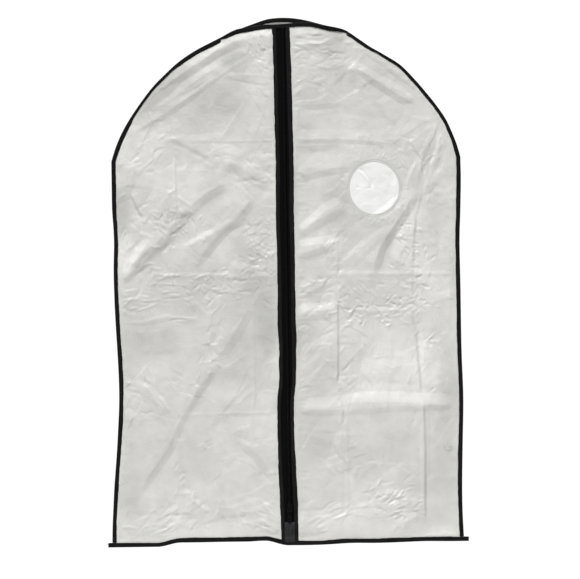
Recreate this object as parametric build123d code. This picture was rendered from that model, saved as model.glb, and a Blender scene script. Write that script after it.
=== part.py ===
from build123d import *
import math
import os

# A hanging garment bag of thin translucent film, as it hangs from a coat hanger.
# Units are millimetres.  +X is to the right of someone facing the bag, +Y points from the
# front to the back, +Z is up.  The origin is the middle of the hanger opening at the neck,
# level with the top of the back neck edge.

# Overall size
HALF_WIDTH = 301.0          # centre line to the outside of the edge binding
BAG_HEIGHT = 908.0          # top of the back neck to the bottom hem
SHOULDER_RADIUS = 311.5     # one arc over both shoulders
SHOULDER_TOP = -13.5        # height of the front neck edge
NECK_RISE_RADIUS = 197.0    # flatter arc of the back neck, which stands above the front
SEAM_Y = 5.0                # plane of the side, shoulder and bottom seams
FRONT_DEPTH = 12.4          # seam plane to the outside of the front film
BACK_DEPTH = 10.0           # seam plane to the outside of the back film

# Film
FILM = 0.5                  # solid thickness that stands for the 0.1 mm film
FLANGE_INSET = 1.2          # film edge, held inside the folded binding
SLOPE_START = 8.0           # insets at which the film leaves the seam plane ...
SLOPE_END = 15.5            # ... and reaches the flat of the panel
SLOPE_WALL = 0.6            # horizontal thickness of the sloping wall

# Folded bindings
BINDING_WIDTH = 7.5
BINDING_HALF_THICKNESS = 1.75
GROOVE_HALF_THICKNESS = 1.15
GROOVE_INSET = 1.0
HEM_OVERRUN = 7.5           # the bottom binding runs past both side seams
CLEARANCE = 0.3

# Neck
NECK_HALF_WIDTH = 75.0      # half of the opening between the front and back neck edges
NECK_CUT_FLOOR = -45.0

# Front flaps: the part of each front panel that swings when the zip is open
FLAP_TOP = -130.0
FLAP_BOTTOM = -743.0
FLAP_INSET = 17.1
FLAP_GAP = 0.15             # each side of a cut between flap and border

# Zip
ZIP_TOP = -21.6
ZIP_BOTTOM = -886.0
FILM_TO_ZIP = 9.0           # film edge beside the zip
BINDING_IN, BINDING_OUT = 8.2, 14.3
TAPE_IN, TAPE_OUT = 0.9, 14.0
COIL_IN, COIL_OUT = 0.7, 3.2
SLIDER_Z = -846.0           # closed, at the bottom of its travel
SLIDER_HALF_LENGTH = 7.5
PULL_AXIS_Z = SLIDER_Z - 1.5
PULL_AXIS_DEPTH = 15.8      # in front of the seam plane

# Stitching
THREAD = 0.5
THREAD_HEIGHT = 0.35
STITCH_INSET = 5.0

# Window in the right front panel
WINDOW_X, WINDOW_Z = 153.5, -296.5
WINDOW_RADIUS = 45.0
WINDOW_OVERLAP = 4.0

SHOULDER_CENTRE = SHOULDER_TOP - SHOULDER_RADIUS
SHOULDER_CORNER = SHOULDER_CENTRE + math.sqrt(SHOULDER_RADIUS ** 2 - HALF_WIDTH ** 2)
SHOULDER_LENGTHS = 5        # lengths into which the border's shoulder slope is cut
FLOOR = -BAG_HEIGHT
FAR = 2000.0


def write(node, shape):
    """Writes one node as parts/NODE.step."""
    os.makedirs("parts", exist_ok=True)
    export_step(shape, f"parts/{node}.step")


def slab(sketch, y_front, y_back):
    """A solid between two depths, from a sketch drawn in X and Z."""
    plane = Plane.XZ.offset(-y_back)
    return extrude(plane * sketch, amount=y_back - y_front)


def block(x_low, x_high, y_low, y_high, z_low, z_high):
    """A box from its lowest to its highest corner."""
    centre = ((x_low + x_high) / 2, (y_low + y_high) / 2, (z_low + z_high) / 2)
    return Pos(*centre) * Box(x_high - x_low, y_high - y_low, z_high - z_low)


def front_outline(inset, floor=None):
    """The front panel's outline: one shoulder arc, two straight sides and a hem."""
    bottom = FLOOR + inset if floor is None else floor
    half = HALF_WIDTH - inset
    radius = SHOULDER_RADIUS - inset
    corner = SHOULDER_CENTRE + math.sqrt(radius ** 2 - half ** 2)
    edges = [
        ThreePointArc((-half, corner), (0, SHOULDER_CENTRE + radius), (half, corner)),
        Line((half, corner), (half, bottom)),
        Line((half, bottom), (-half, bottom)),
        Line((-half, bottom), (-half, corner)),
    ]
    return make_face(edges)


def back_outline(inset, floor=None):
    """The back panel's outline: the front one with a raised neck arc."""
    radius = NECK_RISE_RADIUS - inset
    neck_disc = Pos(0, -NECK_RISE_RADIUS) * Circle(radius)
    neck_cap = neck_disc & (Pos(0, FAR / 2 - NECK_RISE_RADIUS / 2) * Rectangle(FAR, FAR))
    return front_outline(inset, floor) + neck_cap


def tray(outline, direction, depth):
    """A film panel: a flat flange in the seam, a sloping wall and a flat middle."""
    seam = SEAM_Y + direction * 0.1

    def frustum(inset, reach):
        near = Plane.XZ.offset(-seam) * outline(SLOPE_START + inset)
        far = Plane.XZ.offset(-(SEAM_Y + direction * reach)) * outline(SLOPE_END + inset)
        return loft([near.face(), far.face()], ruled=True)

    shell = frustum(0, depth) - frustum(SLOPE_WALL, depth - FILM)
    ring = outline(FLANGE_INSET) - outline(SLOPE_START + SLOPE_WALL / 2)
    lip = SEAM_Y + direction * (0.1 + FILM)
    flange = slab(ring, min(seam, lip), max(seam, lip))
    return shell + flange


def depth_slab(sketch, front, back):
    """A slab given by its distances in front of the seam plane."""
    return slab(sketch, SEAM_Y - front, SEAM_Y - back)


def neck_spout(film):
    """Brings the front film forward at the neck, so that the opening gapes."""
    inner = FRONT_DEPTH - FILM
    outside = block(-NECK_HALF_WIDTH, NECK_HALF_WIDTH, SEAM_Y - inner, SEAM_Y, NECK_CUT_FLOOR, 10)
    reach = Pos(0, NECK_CUT_FLOOR / 2) * Rectangle(2 * NECK_HALF_WIDTH, -NECK_CUT_FLOOR)
    tongue_face = (front_outline(FLANGE_INSET) & reach) - front_outline(SLOPE_END + 1)
    tongue = depth_slab(tongue_face, FRONT_DEPTH, inner)
    cheek_face = front_outline(FLANGE_INSET) - front_outline(SLOPE_END + 1)
    cheeks = depth_slab(cheek_face, FRONT_DEPTH, 0.1)
    widths = (NECK_HALF_WIDTH - 0.01, NECK_HALF_WIDTH + FILM)
    cheek_left = cheeks & block(-widths[1], -widths[0], -FAR, FAR, NECK_CUT_FLOOR, 10)
    cheek_right = cheeks & block(widths[0], widths[1], -FAR, FAR, NECK_CUT_FLOOR, 10)
    return (film - outside) + tongue + cheek_left + cheek_right


def mirrored(shape, side):
    """The shape itself on the right, its mirror image on the left."""
    return shape if side > 0 else mirror(shape, about=Plane.YZ)


# ---------------------------------------------------------------- film panels
write("back_panel", tray(back_outline, 1, BACK_DEPTH))

front = neck_spout(tray(front_outline, -1, FRONT_DEPTH))
flap_zone = block(0, FAR, -FAR, FAR, FLAP_BOTTOM - FLAP_GAP, FLAP_TOP + FLAP_GAP)
flap_window = slab(front_outline(FLAP_INSET - CLEARANCE), -FAR, FAR) & flap_zone
right_half = block(FILM_TO_ZIP, FAR, -FAR, FAR, -FAR, FAR)
border = (front & right_half) - flap_window


def border_lengths(border):
    """The border as lengths that are each nearly convex, cut where the film bends."""
    middle = slab(front_outline(FLAP_INSET - CLEARANCE), -FAR, FAR)
    rim = border - middle
    neck_angle = math.degrees(math.asin((NECK_HALF_WIDTH + FILM) / SHOULDER_RADIUS))
    corner_angle = math.degrees(math.asin(HALF_WIDTH / SHOULDER_RADIUS))
    step = (corner_angle - neck_angle) / SHOULDER_LENGTHS
    hem_line = FLOOR + FLAP_INSET
    lengths = [*(border & middle).solids()]
    zones = [block(0, FAR, -FAR, FAR, -FAR, hem_line)]
    zones.append(block(HALF_WIDTH / 2, FAR, -FAR, FAR, hem_line, SHOULDER_CORNER))
    for index in range(-1, SHOULDER_LENGTHS):
        start = 0 if index < 0 else neck_angle + index * step
        end = neck_angle + (index + 1) * step
        wedge = make_face(Polyline(
            (0, SHOULDER_CENTRE), polar_point(start), polar_point(end), close=True,
        ))
        above = slab(wedge, -FAR, FAR) & block(0, FAR, -FAR, FAR, SHOULDER_CORNER, FAR)
        zones.append(above)
    for zone in zones:
        lengths += [*(rim & zone).solids()]
    return lengths


def polar_point(angle):
    """A point far out from the shoulder arc's centre, at an angle from straight up."""
    turn = math.radians(angle)
    return (FAR * math.sin(turn), SHOULDER_CENTRE + FAR * math.cos(turn))


flap_face = front_outline(FLAP_INSET)
flap_band = block(FILM_TO_ZIP, FAR, -FAR, FAR, FLAP_BOTTOM + FLAP_GAP, FLAP_TOP - FLAP_GAP)
flap = depth_slab(flap_face, FRONT_DEPTH, FRONT_DEPTH - FILM) & flap_band
window_hole = slab(Pos(WINDOW_X, WINDOW_Z) * Circle(WINDOW_RADIUS), -FAR, FAR)

for name, side in (("left", -1), ("right", 1)):
    panel = flap - window_hole if side > 0 else flap
    lengths = [mirrored(length, side) for length in border_lengths(border)]
    write(f"front_panel_{name}_border", Compound(children=lengths))
    write(f"front_panel_{name}_flap", mirrored(panel, side))

disc = Pos(WINDOW_X, WINDOW_Z) * Circle(WINDOW_RADIUS + WINDOW_OVERLAP)
write("window_disc", depth_slab(disc, FRONT_DEPTH - FILM, FRONT_DEPTH - 2 * FILM + 0.1))

# ------------------------------------------------------------------- bindings
HEM_TOP = FLOOR + BINDING_WIDTH
EDGE_FOOT = HEM_TOP + CLEARANCE
below = -FAR


def folded_band(outline, inset_groove, half, groove_half, middle_y):
    """A tape folded over a film edge: a band along the outline with a groove in it."""
    band = outline(0, EDGE_FOOT) - outline(BINDING_WIDTH, below)
    groove = outline(inset_groove, below) - outline(BINDING_WIDTH + 1, below)
    solid = slab(band, middle_y - half, middle_y + half)
    return solid - slab(groove, middle_y - groove_half, middle_y + groove_half)


write(
    "edge_binding",
    folded_band(back_outline, GROOVE_INSET, BINDING_HALF_THICKNESS, GROOVE_HALF_THICKNESS, SEAM_Y),
)

NECK_END = NECK_HALF_WIDTH + 3
NECK_Y = SEAM_Y - FRONT_DEPTH + FILM / 2
neck_zone = block(-NECK_END, NECK_END, -FAR, FAR, NECK_CUT_FLOOR, 10)
neck_binding = folded_band(front_outline, GROOVE_INSET, 1.0, 0.45, NECK_Y) & neck_zone
cheek_slots = block(-NECK_END, NECK_END, NECK_Y - 0.45, NECK_Y + 5, NECK_CUT_FLOOR, 10)
cheek_slots -= block(-NECK_HALF_WIDTH + 1, NECK_HALF_WIDTH - 1, -FAR, FAR, NECK_CUT_FLOOR, 10)
write("neck_binding", neck_binding - cheek_slots)

hem_end = HALF_WIDTH + HEM_OVERRUN
hem = block(
    -hem_end, hem_end, SEAM_Y - BINDING_HALF_THICKNESS, SEAM_Y + BINDING_HALF_THICKNESS,
    FLOOR, HEM_TOP,
)
hem_groove = block(
    -HALF_WIDTH, HALF_WIDTH, SEAM_Y - GROOVE_HALF_THICKNESS, SEAM_Y + GROOVE_HALF_THICKNESS,
    FLOOR + GROOVE_INSET, HEM_TOP + 1,
)
write("bottom_binding", hem - hem_groove)

# ------------------------------------------------------------------ zip strips
END_ZONES = ((ZIP_BOTTOM, FLAP_BOTTOM - FLAP_GAP), (FLAP_TOP + FLAP_GAP, ZIP_TOP))
MIDDLE_ZONE = ((FLAP_BOTTOM + FLAP_GAP, FLAP_TOP - FLAP_GAP),)


def strip(x_in, x_out, front, back, zones):
    """Upright strips beside the zip, one for each zone of heights."""
    return [
        block(x_in, x_out, SEAM_Y - front, SEAM_Y - back, low, high) for low, high in zones
    ]


def zip_binding(zones):
    """A tape folded over the film edge, open towards the side of the bag."""
    solid = strip(BINDING_IN, BINDING_OUT, 13.0, 11.3, zones)
    slot = strip(BINDING_IN + 0.5, BINDING_OUT + 1, 12.5, 11.8, ((-FAR, 0),))
    pieces = [piece - slot[0] for piece in solid]
    if zones is END_ZONES:
        pieces[0] += binding_foot()
    return pieces


def binding_foot():
    """The tape's front layer below the zip, bent back over the film to the hem binding."""
    profile = Polyline(
        (SEAM_Y - 12.5, ZIP_BOTTOM + 1), (SEAM_Y - 12.5, -892.6), (SEAM_Y - 1.9, -899.3),
        (SEAM_Y - 1.9, -899.9), (SEAM_Y - 13.0, -892.9), (SEAM_Y - 13.0, ZIP_BOTTOM + 1), close=True,
    )
    side_plane = Plane((BINDING_IN, 0, 0), x_dir=(0, 1, 0), z_dir=(1, 0, 0))
    return extrude(side_plane * make_face(profile), amount=BINDING_OUT - BINDING_IN)


def zip_coil(zones):
    """One half of the nylon coil, as a bar with rounded long edges."""
    bars = strip(COIL_IN, COIL_OUT, 13.2, 11.3, zones)
    return [fillet(bar.edges().filter_by(Axis.Z), 0.6) for bar in bars]


STRIPS = {
    "zip_binding": zip_binding,
    "zip_tape": lambda zones: strip(TAPE_IN, TAPE_OUT, 11.2, 10.8, zones),
    "zip_coil": zip_coil,
    "zip_thread": lambda zones: strip(12.4, 12.4 + THREAD, 13.0 + THREAD_HEIGHT, 13.0, zones),
}
for kind, make in STRIPS.items():
    for name, side in (("left", -1), ("right", 1)):
        for suffix, zones in (("ends", END_ZONES), ("middle", MIDDLE_ZONE)):
            pieces = [mirrored(piece, side) for piece in make(zones)]
            write(f"{kind}_{name}_{suffix}", Compound(children=pieces))

# --------------------------------------------------- sewn tab over the zip's foot
TAB_HALF_WIDTH = 8.0
TAB_TOP = -869.0
tab_profile = Polyline(
    (SEAM_Y - 13.4, TAB_TOP), (SEAM_Y - 13.4, -892.5), (SEAM_Y - 1.85, -900.3),
    (SEAM_Y - 1.85, -907.0), (SEAM_Y - 2.35, -907.0), (SEAM_Y - 2.35, -900.65),
    (SEAM_Y - 13.9, -892.85), (SEAM_Y - 13.9, TAB_TOP), close=True,
)
tab_plane = Plane((-TAB_HALF_WIDTH, 0, 0), x_dir=(0, 1, 0), z_dir=(1, 0, 0))
write("zip_end_tab", extrude(tab_plane * make_face(tab_profile), amount=2 * TAB_HALF_WIDTH))

TAB_BEND = -892.0
stitch_width, stitch_height = 2 * TAB_HALF_WIDTH - 3, TAB_TOP - TAB_BEND - 3
stitch_place = Pos(0, (TAB_TOP + TAB_BEND) / 2)
stitch_box = stitch_place * Rectangle(stitch_width, stitch_height)
stitch_hole = stitch_place * Rectangle(stitch_width - 2 * THREAD, stitch_height - 2 * THREAD)
write("tab_thread", depth_slab(stitch_box - stitch_hole, 13.9 + THREAD_HEIGHT, 13.9))

# ------------------------------------------------------------ threads in the seams
def seam_beads(ring, front_face, back_face):
    """A lockstitch shows on both faces: one bead of thread on each."""
    return Compound(children=[
        slab(ring, front_face - THREAD_HEIGHT, front_face),
        slab(ring, back_face, back_face + THREAD_HEIGHT),
    ])


edge_ring = back_outline(STITCH_INSET, EDGE_FOOT) - back_outline(STITCH_INSET + THREAD, below)
edge_faces = (SEAM_Y - BINDING_HALF_THICKNESS, SEAM_Y + BINDING_HALF_THICKNESS)
write("edge_thread", seam_beads(edge_ring, *edge_faces))

neck_ring = front_outline(STITCH_INSET) - front_outline(STITCH_INSET + THREAD, below)
neck_ring &= Pos(0, NECK_CUT_FLOOR / 2) * Rectangle(2 * NECK_HALF_WIDTH - 4, -NECK_CUT_FLOOR)
write("neck_thread", seam_beads(neck_ring, NECK_Y - 1.0, NECK_Y + 1.0))

hem_line = Pos(0, FLOOR + 2.6) * Rectangle(2 * hem_end - 6, THREAD)
tab_gap = Rectangle(2 * TAB_HALF_WIDTH + 1, FAR * 2)
front_bead = slab(hem_line - tab_gap, edge_faces[0] - THREAD_HEIGHT, edge_faces[0])
back_bead = slab(hem_line, edge_faces[1], edge_faces[1] + THREAD_HEIGHT)
write("bottom_thread", Compound(children=[*front_bead.solids(), back_bead]))

# ----------------------------------------------------------------- zip slider
def slider_plate(front, back):
    """A slider plate: wide where the open halves enter, narrower above."""
    wide, narrow = 4.75, 4.3
    foot, head = SLIDER_Z - SLIDER_HALF_LENGTH, SLIDER_Z + SLIDER_HALF_LENGTH
    face = make_face(Polyline(
        (-wide, foot), (wide, foot), (wide, SLIDER_Z - 1), (narrow, head),
        (-narrow, head), (-wide, SLIDER_Z - 1), close=True,
    ))
    plate = depth_slab(face, front, back)
    return fillet(plate.edges().filter_by(Axis.Y), 0.8)


def slider_flanges():
    """Lips under the top plate that keep the coil in its channel."""
    face = slider_plate(13.5, 12.0)
    channel = block(-3.6, 3.6, -FAR, FAR, -FAR, 0)
    return [lip for lip in (face - channel).solids()]


top_plate = slider_plate(14.6, 13.5)
bottom_plate = slider_plate(10.4, 9.4)
post = block(-0.5, 0.5, SEAM_Y - 13.6, SEAM_Y - 10.3, SLIDER_Z - 6.5, SLIDER_Z - 2)
crown = block(-1.1, 1.1, SEAM_Y - 17.9, SEAM_Y - 14.5, SLIDER_Z - 4.6, SLIDER_Z + 4.6)
crown = fillet(crown.edges().filter_by(Axis.X).group_by(Axis.Y)[0], 1.2)
crown -= block(-2, 2, SEAM_Y - 17.0, SEAM_Y - 14.6, SLIDER_Z - 3.6, SLIDER_Z + 3.6)
slider = top_plate + bottom_plate + post + crown
for lip in slider_flanges():
    slider += lip
write("slider_body", slider)

# ------------------------------------------------------------------- pull tab
PULL_HALF_WIDTH = 3.3
PULL_LENGTH = 21.5
pull_face = Pos(0, PULL_AXIS_Z + (0.6 - PULL_LENGTH) / 2) * RectangleRounded(
    2 * PULL_HALF_WIDTH, PULL_LENGTH + 0.6, 1.2
)
pull_slot = Pos(0, PULL_AXIS_Z - 4.7) * Rectangle(3.4, 8.2)
grip_hole = Pos(0, PULL_AXIS_Z - 16.6) * SlotOverall(5.0, 2.6, rotation=90)
pull = depth_slab(
    pull_face - pull_slot - grip_hole, PULL_AXIS_DEPTH + 0.5, PULL_AXIS_DEPTH - 0.5
)
write("pull_tab", pull)
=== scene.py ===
import math

import bmesh
import bpy
import numpy as np
from mathutils import Matrix, Vector


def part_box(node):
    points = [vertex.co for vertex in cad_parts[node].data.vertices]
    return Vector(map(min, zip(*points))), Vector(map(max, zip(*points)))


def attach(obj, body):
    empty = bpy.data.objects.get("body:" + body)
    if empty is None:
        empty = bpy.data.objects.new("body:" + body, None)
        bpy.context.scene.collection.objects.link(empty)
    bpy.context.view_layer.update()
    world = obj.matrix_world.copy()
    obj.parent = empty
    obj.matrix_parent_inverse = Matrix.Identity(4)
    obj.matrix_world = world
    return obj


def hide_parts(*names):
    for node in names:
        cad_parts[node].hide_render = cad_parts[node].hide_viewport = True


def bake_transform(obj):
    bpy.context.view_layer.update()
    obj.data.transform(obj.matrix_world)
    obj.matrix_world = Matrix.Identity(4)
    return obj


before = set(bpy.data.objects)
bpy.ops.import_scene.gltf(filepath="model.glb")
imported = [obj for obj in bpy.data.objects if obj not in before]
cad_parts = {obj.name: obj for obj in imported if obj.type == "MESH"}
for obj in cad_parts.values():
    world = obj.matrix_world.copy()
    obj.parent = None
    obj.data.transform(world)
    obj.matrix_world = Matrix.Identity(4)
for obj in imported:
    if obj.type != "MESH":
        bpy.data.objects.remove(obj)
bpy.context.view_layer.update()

# A garment bag of thin frosted film that hangs a little open.  All design values are in
# millimetres in the frame of the CAD model, and meshes are scaled to metres when they are made.
MM = 0.001
RNG_SEED = 41


def box_mm(node):
    """Lowest and highest corner of a CAD node, in millimetres."""
    low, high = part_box(node)
    return np.array(low) / MM, np.array(high) / MM


# ------------------------------------------------------------------ measures
edge_low, edge_high = box_mm("edge_binding")
hem_low, hem_high = box_mm("bottom_binding")
flap_low, flap_high = box_mm("front_panel_right_flap")
_, back_high = box_mm("back_panel")
tape_low, tape_high = box_mm("zip_tape_right_ends")
coil_low, coil_high = box_mm("zip_coil_right_ends")
strip_low, strip_high = box_mm("zip_binding_right_middle")
tab_low, tab_high = box_mm("zip_end_tab")
window_low, window_high = box_mm("window_disc")

HALF_WIDTH = edge_high[0]
SEAM_Y = (edge_low[1] + edge_high[1]) / 2
FRONT_Y = (flap_low[1] + flap_high[1]) / 2
BACK_Y = back_high[1] - 0.2
FLOOR = hem_low[2]
FRONT_DEPTH = SEAM_Y - FRONT_Y
BACK_DEPTH = BACK_Y - SEAM_Y
BINDING_WIDTH = hem_high[2] - hem_low[2]
SHOULDER_TOP = -13.5
SHOULDER_RADIUS = 311.5
SHOULDER_CENTRE = SHOULDER_TOP - SHOULDER_RADIUS
SHOULDER_CORNER = SHOULDER_CENTRE + math.sqrt(SHOULDER_RADIUS ** 2 - HALF_WIDTH ** 2)
NECK_RISE_RADIUS = 197.0    # arc of the raised back neck edge
NECK_RISE_REACH = 125.0
NECK_OPENING = 112.0        # half the width of the opening
FILM_MARGIN = 1.4           # how far inside a seam's fold the film ends
ZIP_TOP, ZIP_BOTTOM = coil_high[2], coil_low[2]
ZIP_FILM_EDGE = strip_low[0] + 1.2
WINDOW_X = (window_low[0] + window_high[0]) / 2
WINDOW_Z = (window_low[2] + window_high[2]) / 2
WINDOW_RADIUS = 45.0
WINDOW_STRETCH = np.array((0.972, 1.022))   # the hole's shape in the hanging film, across and up

# Three straight ramps across a front panel, from the side seam, from the shoulder and from the hem,
# each with its length; the panel is cut into pieces where two of them are equal.
HINGE_X = 284.6
SIDE_RAMP = 150.0
SHOULDER_RAMP_START = (0.0, -60.0)
SHOULDER_RAMP = 300.0
SHOULDER_RAMP_WAY = (0.5492, 0.8358)        # direction inwards and down
HEM_RAMP_START = -870.0
HEM_RAMP = 345.0
ZIP_SPLIT = -473.0


# ------------------------------------------------------------------- helpers
def smooth(t):
    """Smoothstep of a value or array."""
    t = np.clip(t, 0.0, 1.0)
    return t * t * (3 - 2 * t)


def bell(t, centre, spread):
    """A bump of height 1 at the centre."""
    return np.exp(-((t - centre) / spread) ** 2)


def at_least(value, floor, blend):
    """The greater of two values, with a rounded change from one to the other."""
    return floor + blend * np.logaddexp(0, (value - floor) / blend)


def at_most(value, ceiling, blend):
    """The smaller of two values, with a rounded change from one to the other."""
    return ceiling - blend * np.logaddexp(0, (ceiling - value) / blend)


def new_object(name, vertices, faces, normals=None, facing=None):
    """A mesh object from points in millimetres, with smooth faces.

    Closed shapes are turned outwards, open ones towards their normals or a direction."""
    mesh = bpy.data.meshes.new(name)
    mesh.from_pydata([tuple(v) for v in np.asarray(vertices) * MM], [], faces)
    mesh.polygons.foreach_set("use_smooth", [True] * len(mesh.polygons))
    mesh.update()
    if facing is not None:
        if mesh.polygons[0].normal.dot(Vector(facing)) < 0:
            mesh.flip_normals()
    elif normals is None:
        bm = bmesh.new()
        bm.from_mesh(mesh)
        bmesh.ops.recalc_face_normals(bm, faces=bm.faces)
        bm.to_mesh(mesh)
        bm.free()
    else:
        first = mesh.polygons[0]
        if first.normal.dot(Vector(normals[first.vertices[0]])) < 0:
            mesh.flip_normals()
        mesh.normals_split_custom_set_from_vertices([tuple(n) for n in normals])
    obj = bpy.data.objects.new(name, mesh)
    bpy.context.scene.collection.objects.link(obj)
    return obj


def grid_faces(rows, columns, closed=False):
    """Quads of a grid of points stored row by row; closed joins the last column to the first."""
    faces = []
    last = columns if closed else columns - 1
    for r in range(rows - 1):
        for c in range(last):
            d = (c + 1) % columns
            faces.append((r * columns + c, r * columns + d, (r + 1) * columns + d,
                          (r + 1) * columns + c))
    return faces


def sweep(name, rows, flip=False):
    """A closed tube with flat ends; rows holds the path of each corner of its section."""
    count, sides = len(rows[0]), len(rows)
    faces = grid_faces(count, sides, closed=True)
    faces.append(tuple(range(sides))[::-1])
    faces.append(tuple((count - 1) * sides + i for i in range(sides)))
    if flip:
        faces = [tuple(f)[::-1] for f in faces]
    return new_object(name, np.stack(rows, axis=1).reshape(-1, 3), faces)


# ------------------------------------------------------- outline of the bag
# How far each line of the hanging bag strays from the straight pattern, in millimetres: an
# offset, then humps (height, middle, half width), then steps (height, start, run).
DRIFTS = {
    # outwards (+X), by height
    "left_side": (1.5, [(6.5, -630, 110), (0.8, -665, 45), (1.7, -383, 34), (5.5, -135, 50)],
                  [(1.0, -320, -40), (0.8, -800, -50), (-9.0, -720, -185)]),
    "right_side": (0.0, [(3.5, -230, 110), (-1.0, -390, 50), (-1.0, -248, 22), (1.5, -178, 18),
                         (2.2, -660, 60), (-2.0, -830, 70)],
                   [(-0.5, -340, -50), (0.6, -860, -50)]),
    # up, across the width
    "hem": (-2.4, [(1.4, 108, 30), (0.8, 235, 30), (1.4, -45, 18), (1.0, -15, 45),
                   (0.8, -95, 45), (0.9, 75, 50)],
            [(7.0, -225, 40), (-7.0, -40, 38), (2.6, 30, 200)]),
    "shoulder": (1.2, [(-3.0, -62, 34), (-1.6, -211, 18), (7.5, 108, 27), (-0.8, 152, 12),
                       (-1.3, 72, 30), (3.3, 203, 19), (-1.6, 247, 10)],
                 [(-1.2, -20, -30), (-1.2, -250, 60)]),
    # the front panel's upper edge, pulled up beside the neck opening
    "front_top": (0.0, [(6.6, -79, 25), (3.6, -42, 20), (7.4, 56, 36), (1.4, 108, 24)], []),
    # sideways, by height
    "zip": (0.0, [(-1.7, -140, 70), (-1.0, -345, 48), (-0.5, -518, 22), (0.5, -570, 22)],
            [(-2.6, -130, 90), (-0.8, -50, 20), (-4.4, -615, -60), (4.4, -720, -160)]),
    # extra width of the folded tapes beside the zip, by height
    "zip_width": (1.1, [], [(-1.0, -545, -35), (1.0, -745, -20), (-0.7, -835, -25)]),
}
ZIP_PULL = (16, 80)         # distances from the zip at which the film follows it, and stops to
HEM_REACH = 70              # height over which the film takes up the hem's drift
SHOULDER_REACH = (-190, 120)


def drift(line, t):
    """Drift of a line of the bag at a place along it."""
    offset, humps, steps = DRIFTS[line]
    for height, middle, half in humps:
        offset = offset + height * bell(t, middle, half)
    for height, start, run in steps:
        offset = offset + height * smooth((t - start) / run)
    return offset


def warp(x, z):
    """Moves points of the straight pattern to where the slack film really lies."""
    share = np.abs(x) / HALF_WIDTH
    side = np.where(x < 0, drift("left_side", z), drift("right_side", z))
    near_zip = 1 - smooth((np.abs(x) - ZIP_PULL[0]) / ZIP_PULL[1])
    near_hem = smooth((FLOOR + HEM_REACH - z) / HEM_REACH)
    near_top = smooth((z - SHOULDER_REACH[0]) / SHOULDER_REACH[1])
    return (x + side * share + drift("zip", z) * near_zip,
            z + drift("hem", x) * near_hem + drift("shoulder", x) * near_top)


def unwarp(x, z):
    """The pattern point that warp() moves to a given place."""
    u, v = x, z
    for _ in range(3):
        a, b = warp(u, v)
        u, v = u + (x - a), v + (z - b)
    return u, v


def shoulder_arc(x):
    """Height of the shoulder seam's arc."""
    return SHOULDER_CENTRE + np.sqrt(np.maximum(SHOULDER_RADIUS ** 2 - x ** 2, 0))


def front_top(x):
    """Height of the front panel's upper edge: the arc, pulled up beside the neck opening."""
    return shoulder_arc(x) + drift("front_top", x)


def back_top(x):
    """Height of the back panel's upper edge: the shoulder arc and the raised neck arc."""
    neck = -NECK_RISE_RADIUS + np.sqrt(np.maximum(NECK_RISE_RADIUS ** 2 - x ** 2, 0))
    neck = np.where(np.abs(x) < NECK_RISE_REACH, neck, -1000.0)
    return at_least(neck, shoulder_arc(x), 2.5)


def inset(x, z, top):
    """Distance from a point of the pattern to its nearest outer edge."""
    from_arc = SHOULDER_RADIUS - np.hypot(x, z - SHOULDER_CENTRE)
    from_top = np.where(z > SHOULDER_CORNER, from_arc, 1e3)
    if top is back_top:
        rise = smooth((140 - np.abs(x)) / 60) * smooth((z + 120) / 80)
        from_top = from_top + (back_top(x) - shoulder_arc(x)) * rise
    else:
        from_top = from_top + (front_top(x) - shoulder_arc(x)) * smooth((z + 90) / 50)
    return np.minimum(np.minimum(HALF_WIDTH - np.abs(x), z - FLOOR), from_top)


def from_window(x, z):
    """Distance from the middle of the window, in the pattern of the film."""
    return np.hypot((x - WINDOW_X) / WINDOW_STRETCH[0], (z - WINDOW_Z) / WINDOW_STRETCH[1])


# --------------------------------------------------------- relief of the film
STEP = 1.25                 # of the grid that holds the relief
SLANT = np.array((-0.25, 0.97))     # towards the light
LEAN_SLOPE = 0.046          # slope of a band that leans by 1
grid_x = np.arange(-318, 318 + STEP, STEP)
grid_z = np.arange(-924, 12 + STEP, STEP)
GX, GZ = np.meshgrid(grid_x, grid_z)


def sample(field, x, z):
    """Values of a grid field at points, interpolated."""
    fx = np.clip((np.asarray(x) - grid_x[0]) / STEP, 0, len(grid_x) - 1.001)
    fz = np.clip((np.asarray(z) - grid_z[0]) / STEP, 0, len(grid_z) - 1.001)
    i, k = fx.astype(int), fz.astype(int)
    a, b = fx - i, fz - k
    low = field[k, i] * (1 - a) + field[k, i + 1] * a
    high = field[k + 1, i] * (1 - a) + field[k + 1, i + 1] * a
    return low * (1 - b) + high * b


def cloud(scale_mm, seed):
    """Smooth seeded noise with a standard deviation of 1 and lumps of about scale_mm."""
    rng = np.random.default_rng(seed)
    white = np.fft.rfft2(rng.standard_normal(GX.shape))
    kz = np.fft.fftfreq(GX.shape[0], STEP)[:, None]
    kx = np.fft.rfftfreq(GX.shape[1], STEP)[None, :]
    field = np.fft.irfft2(white * np.exp(-2 * (math.pi * scale_mm) ** 2 * (kx ** 2 + kz ** 2) / 4),
                          GX.shape)
    return field / field.std()


def clouds(*layers):
    """A sum of clouds, each a height, a size of lump and what is added to the seed."""
    return sum(height * cloud(scale_mm, RNG_SEED + seed) for height, scale_mm, seed in layers)


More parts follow.
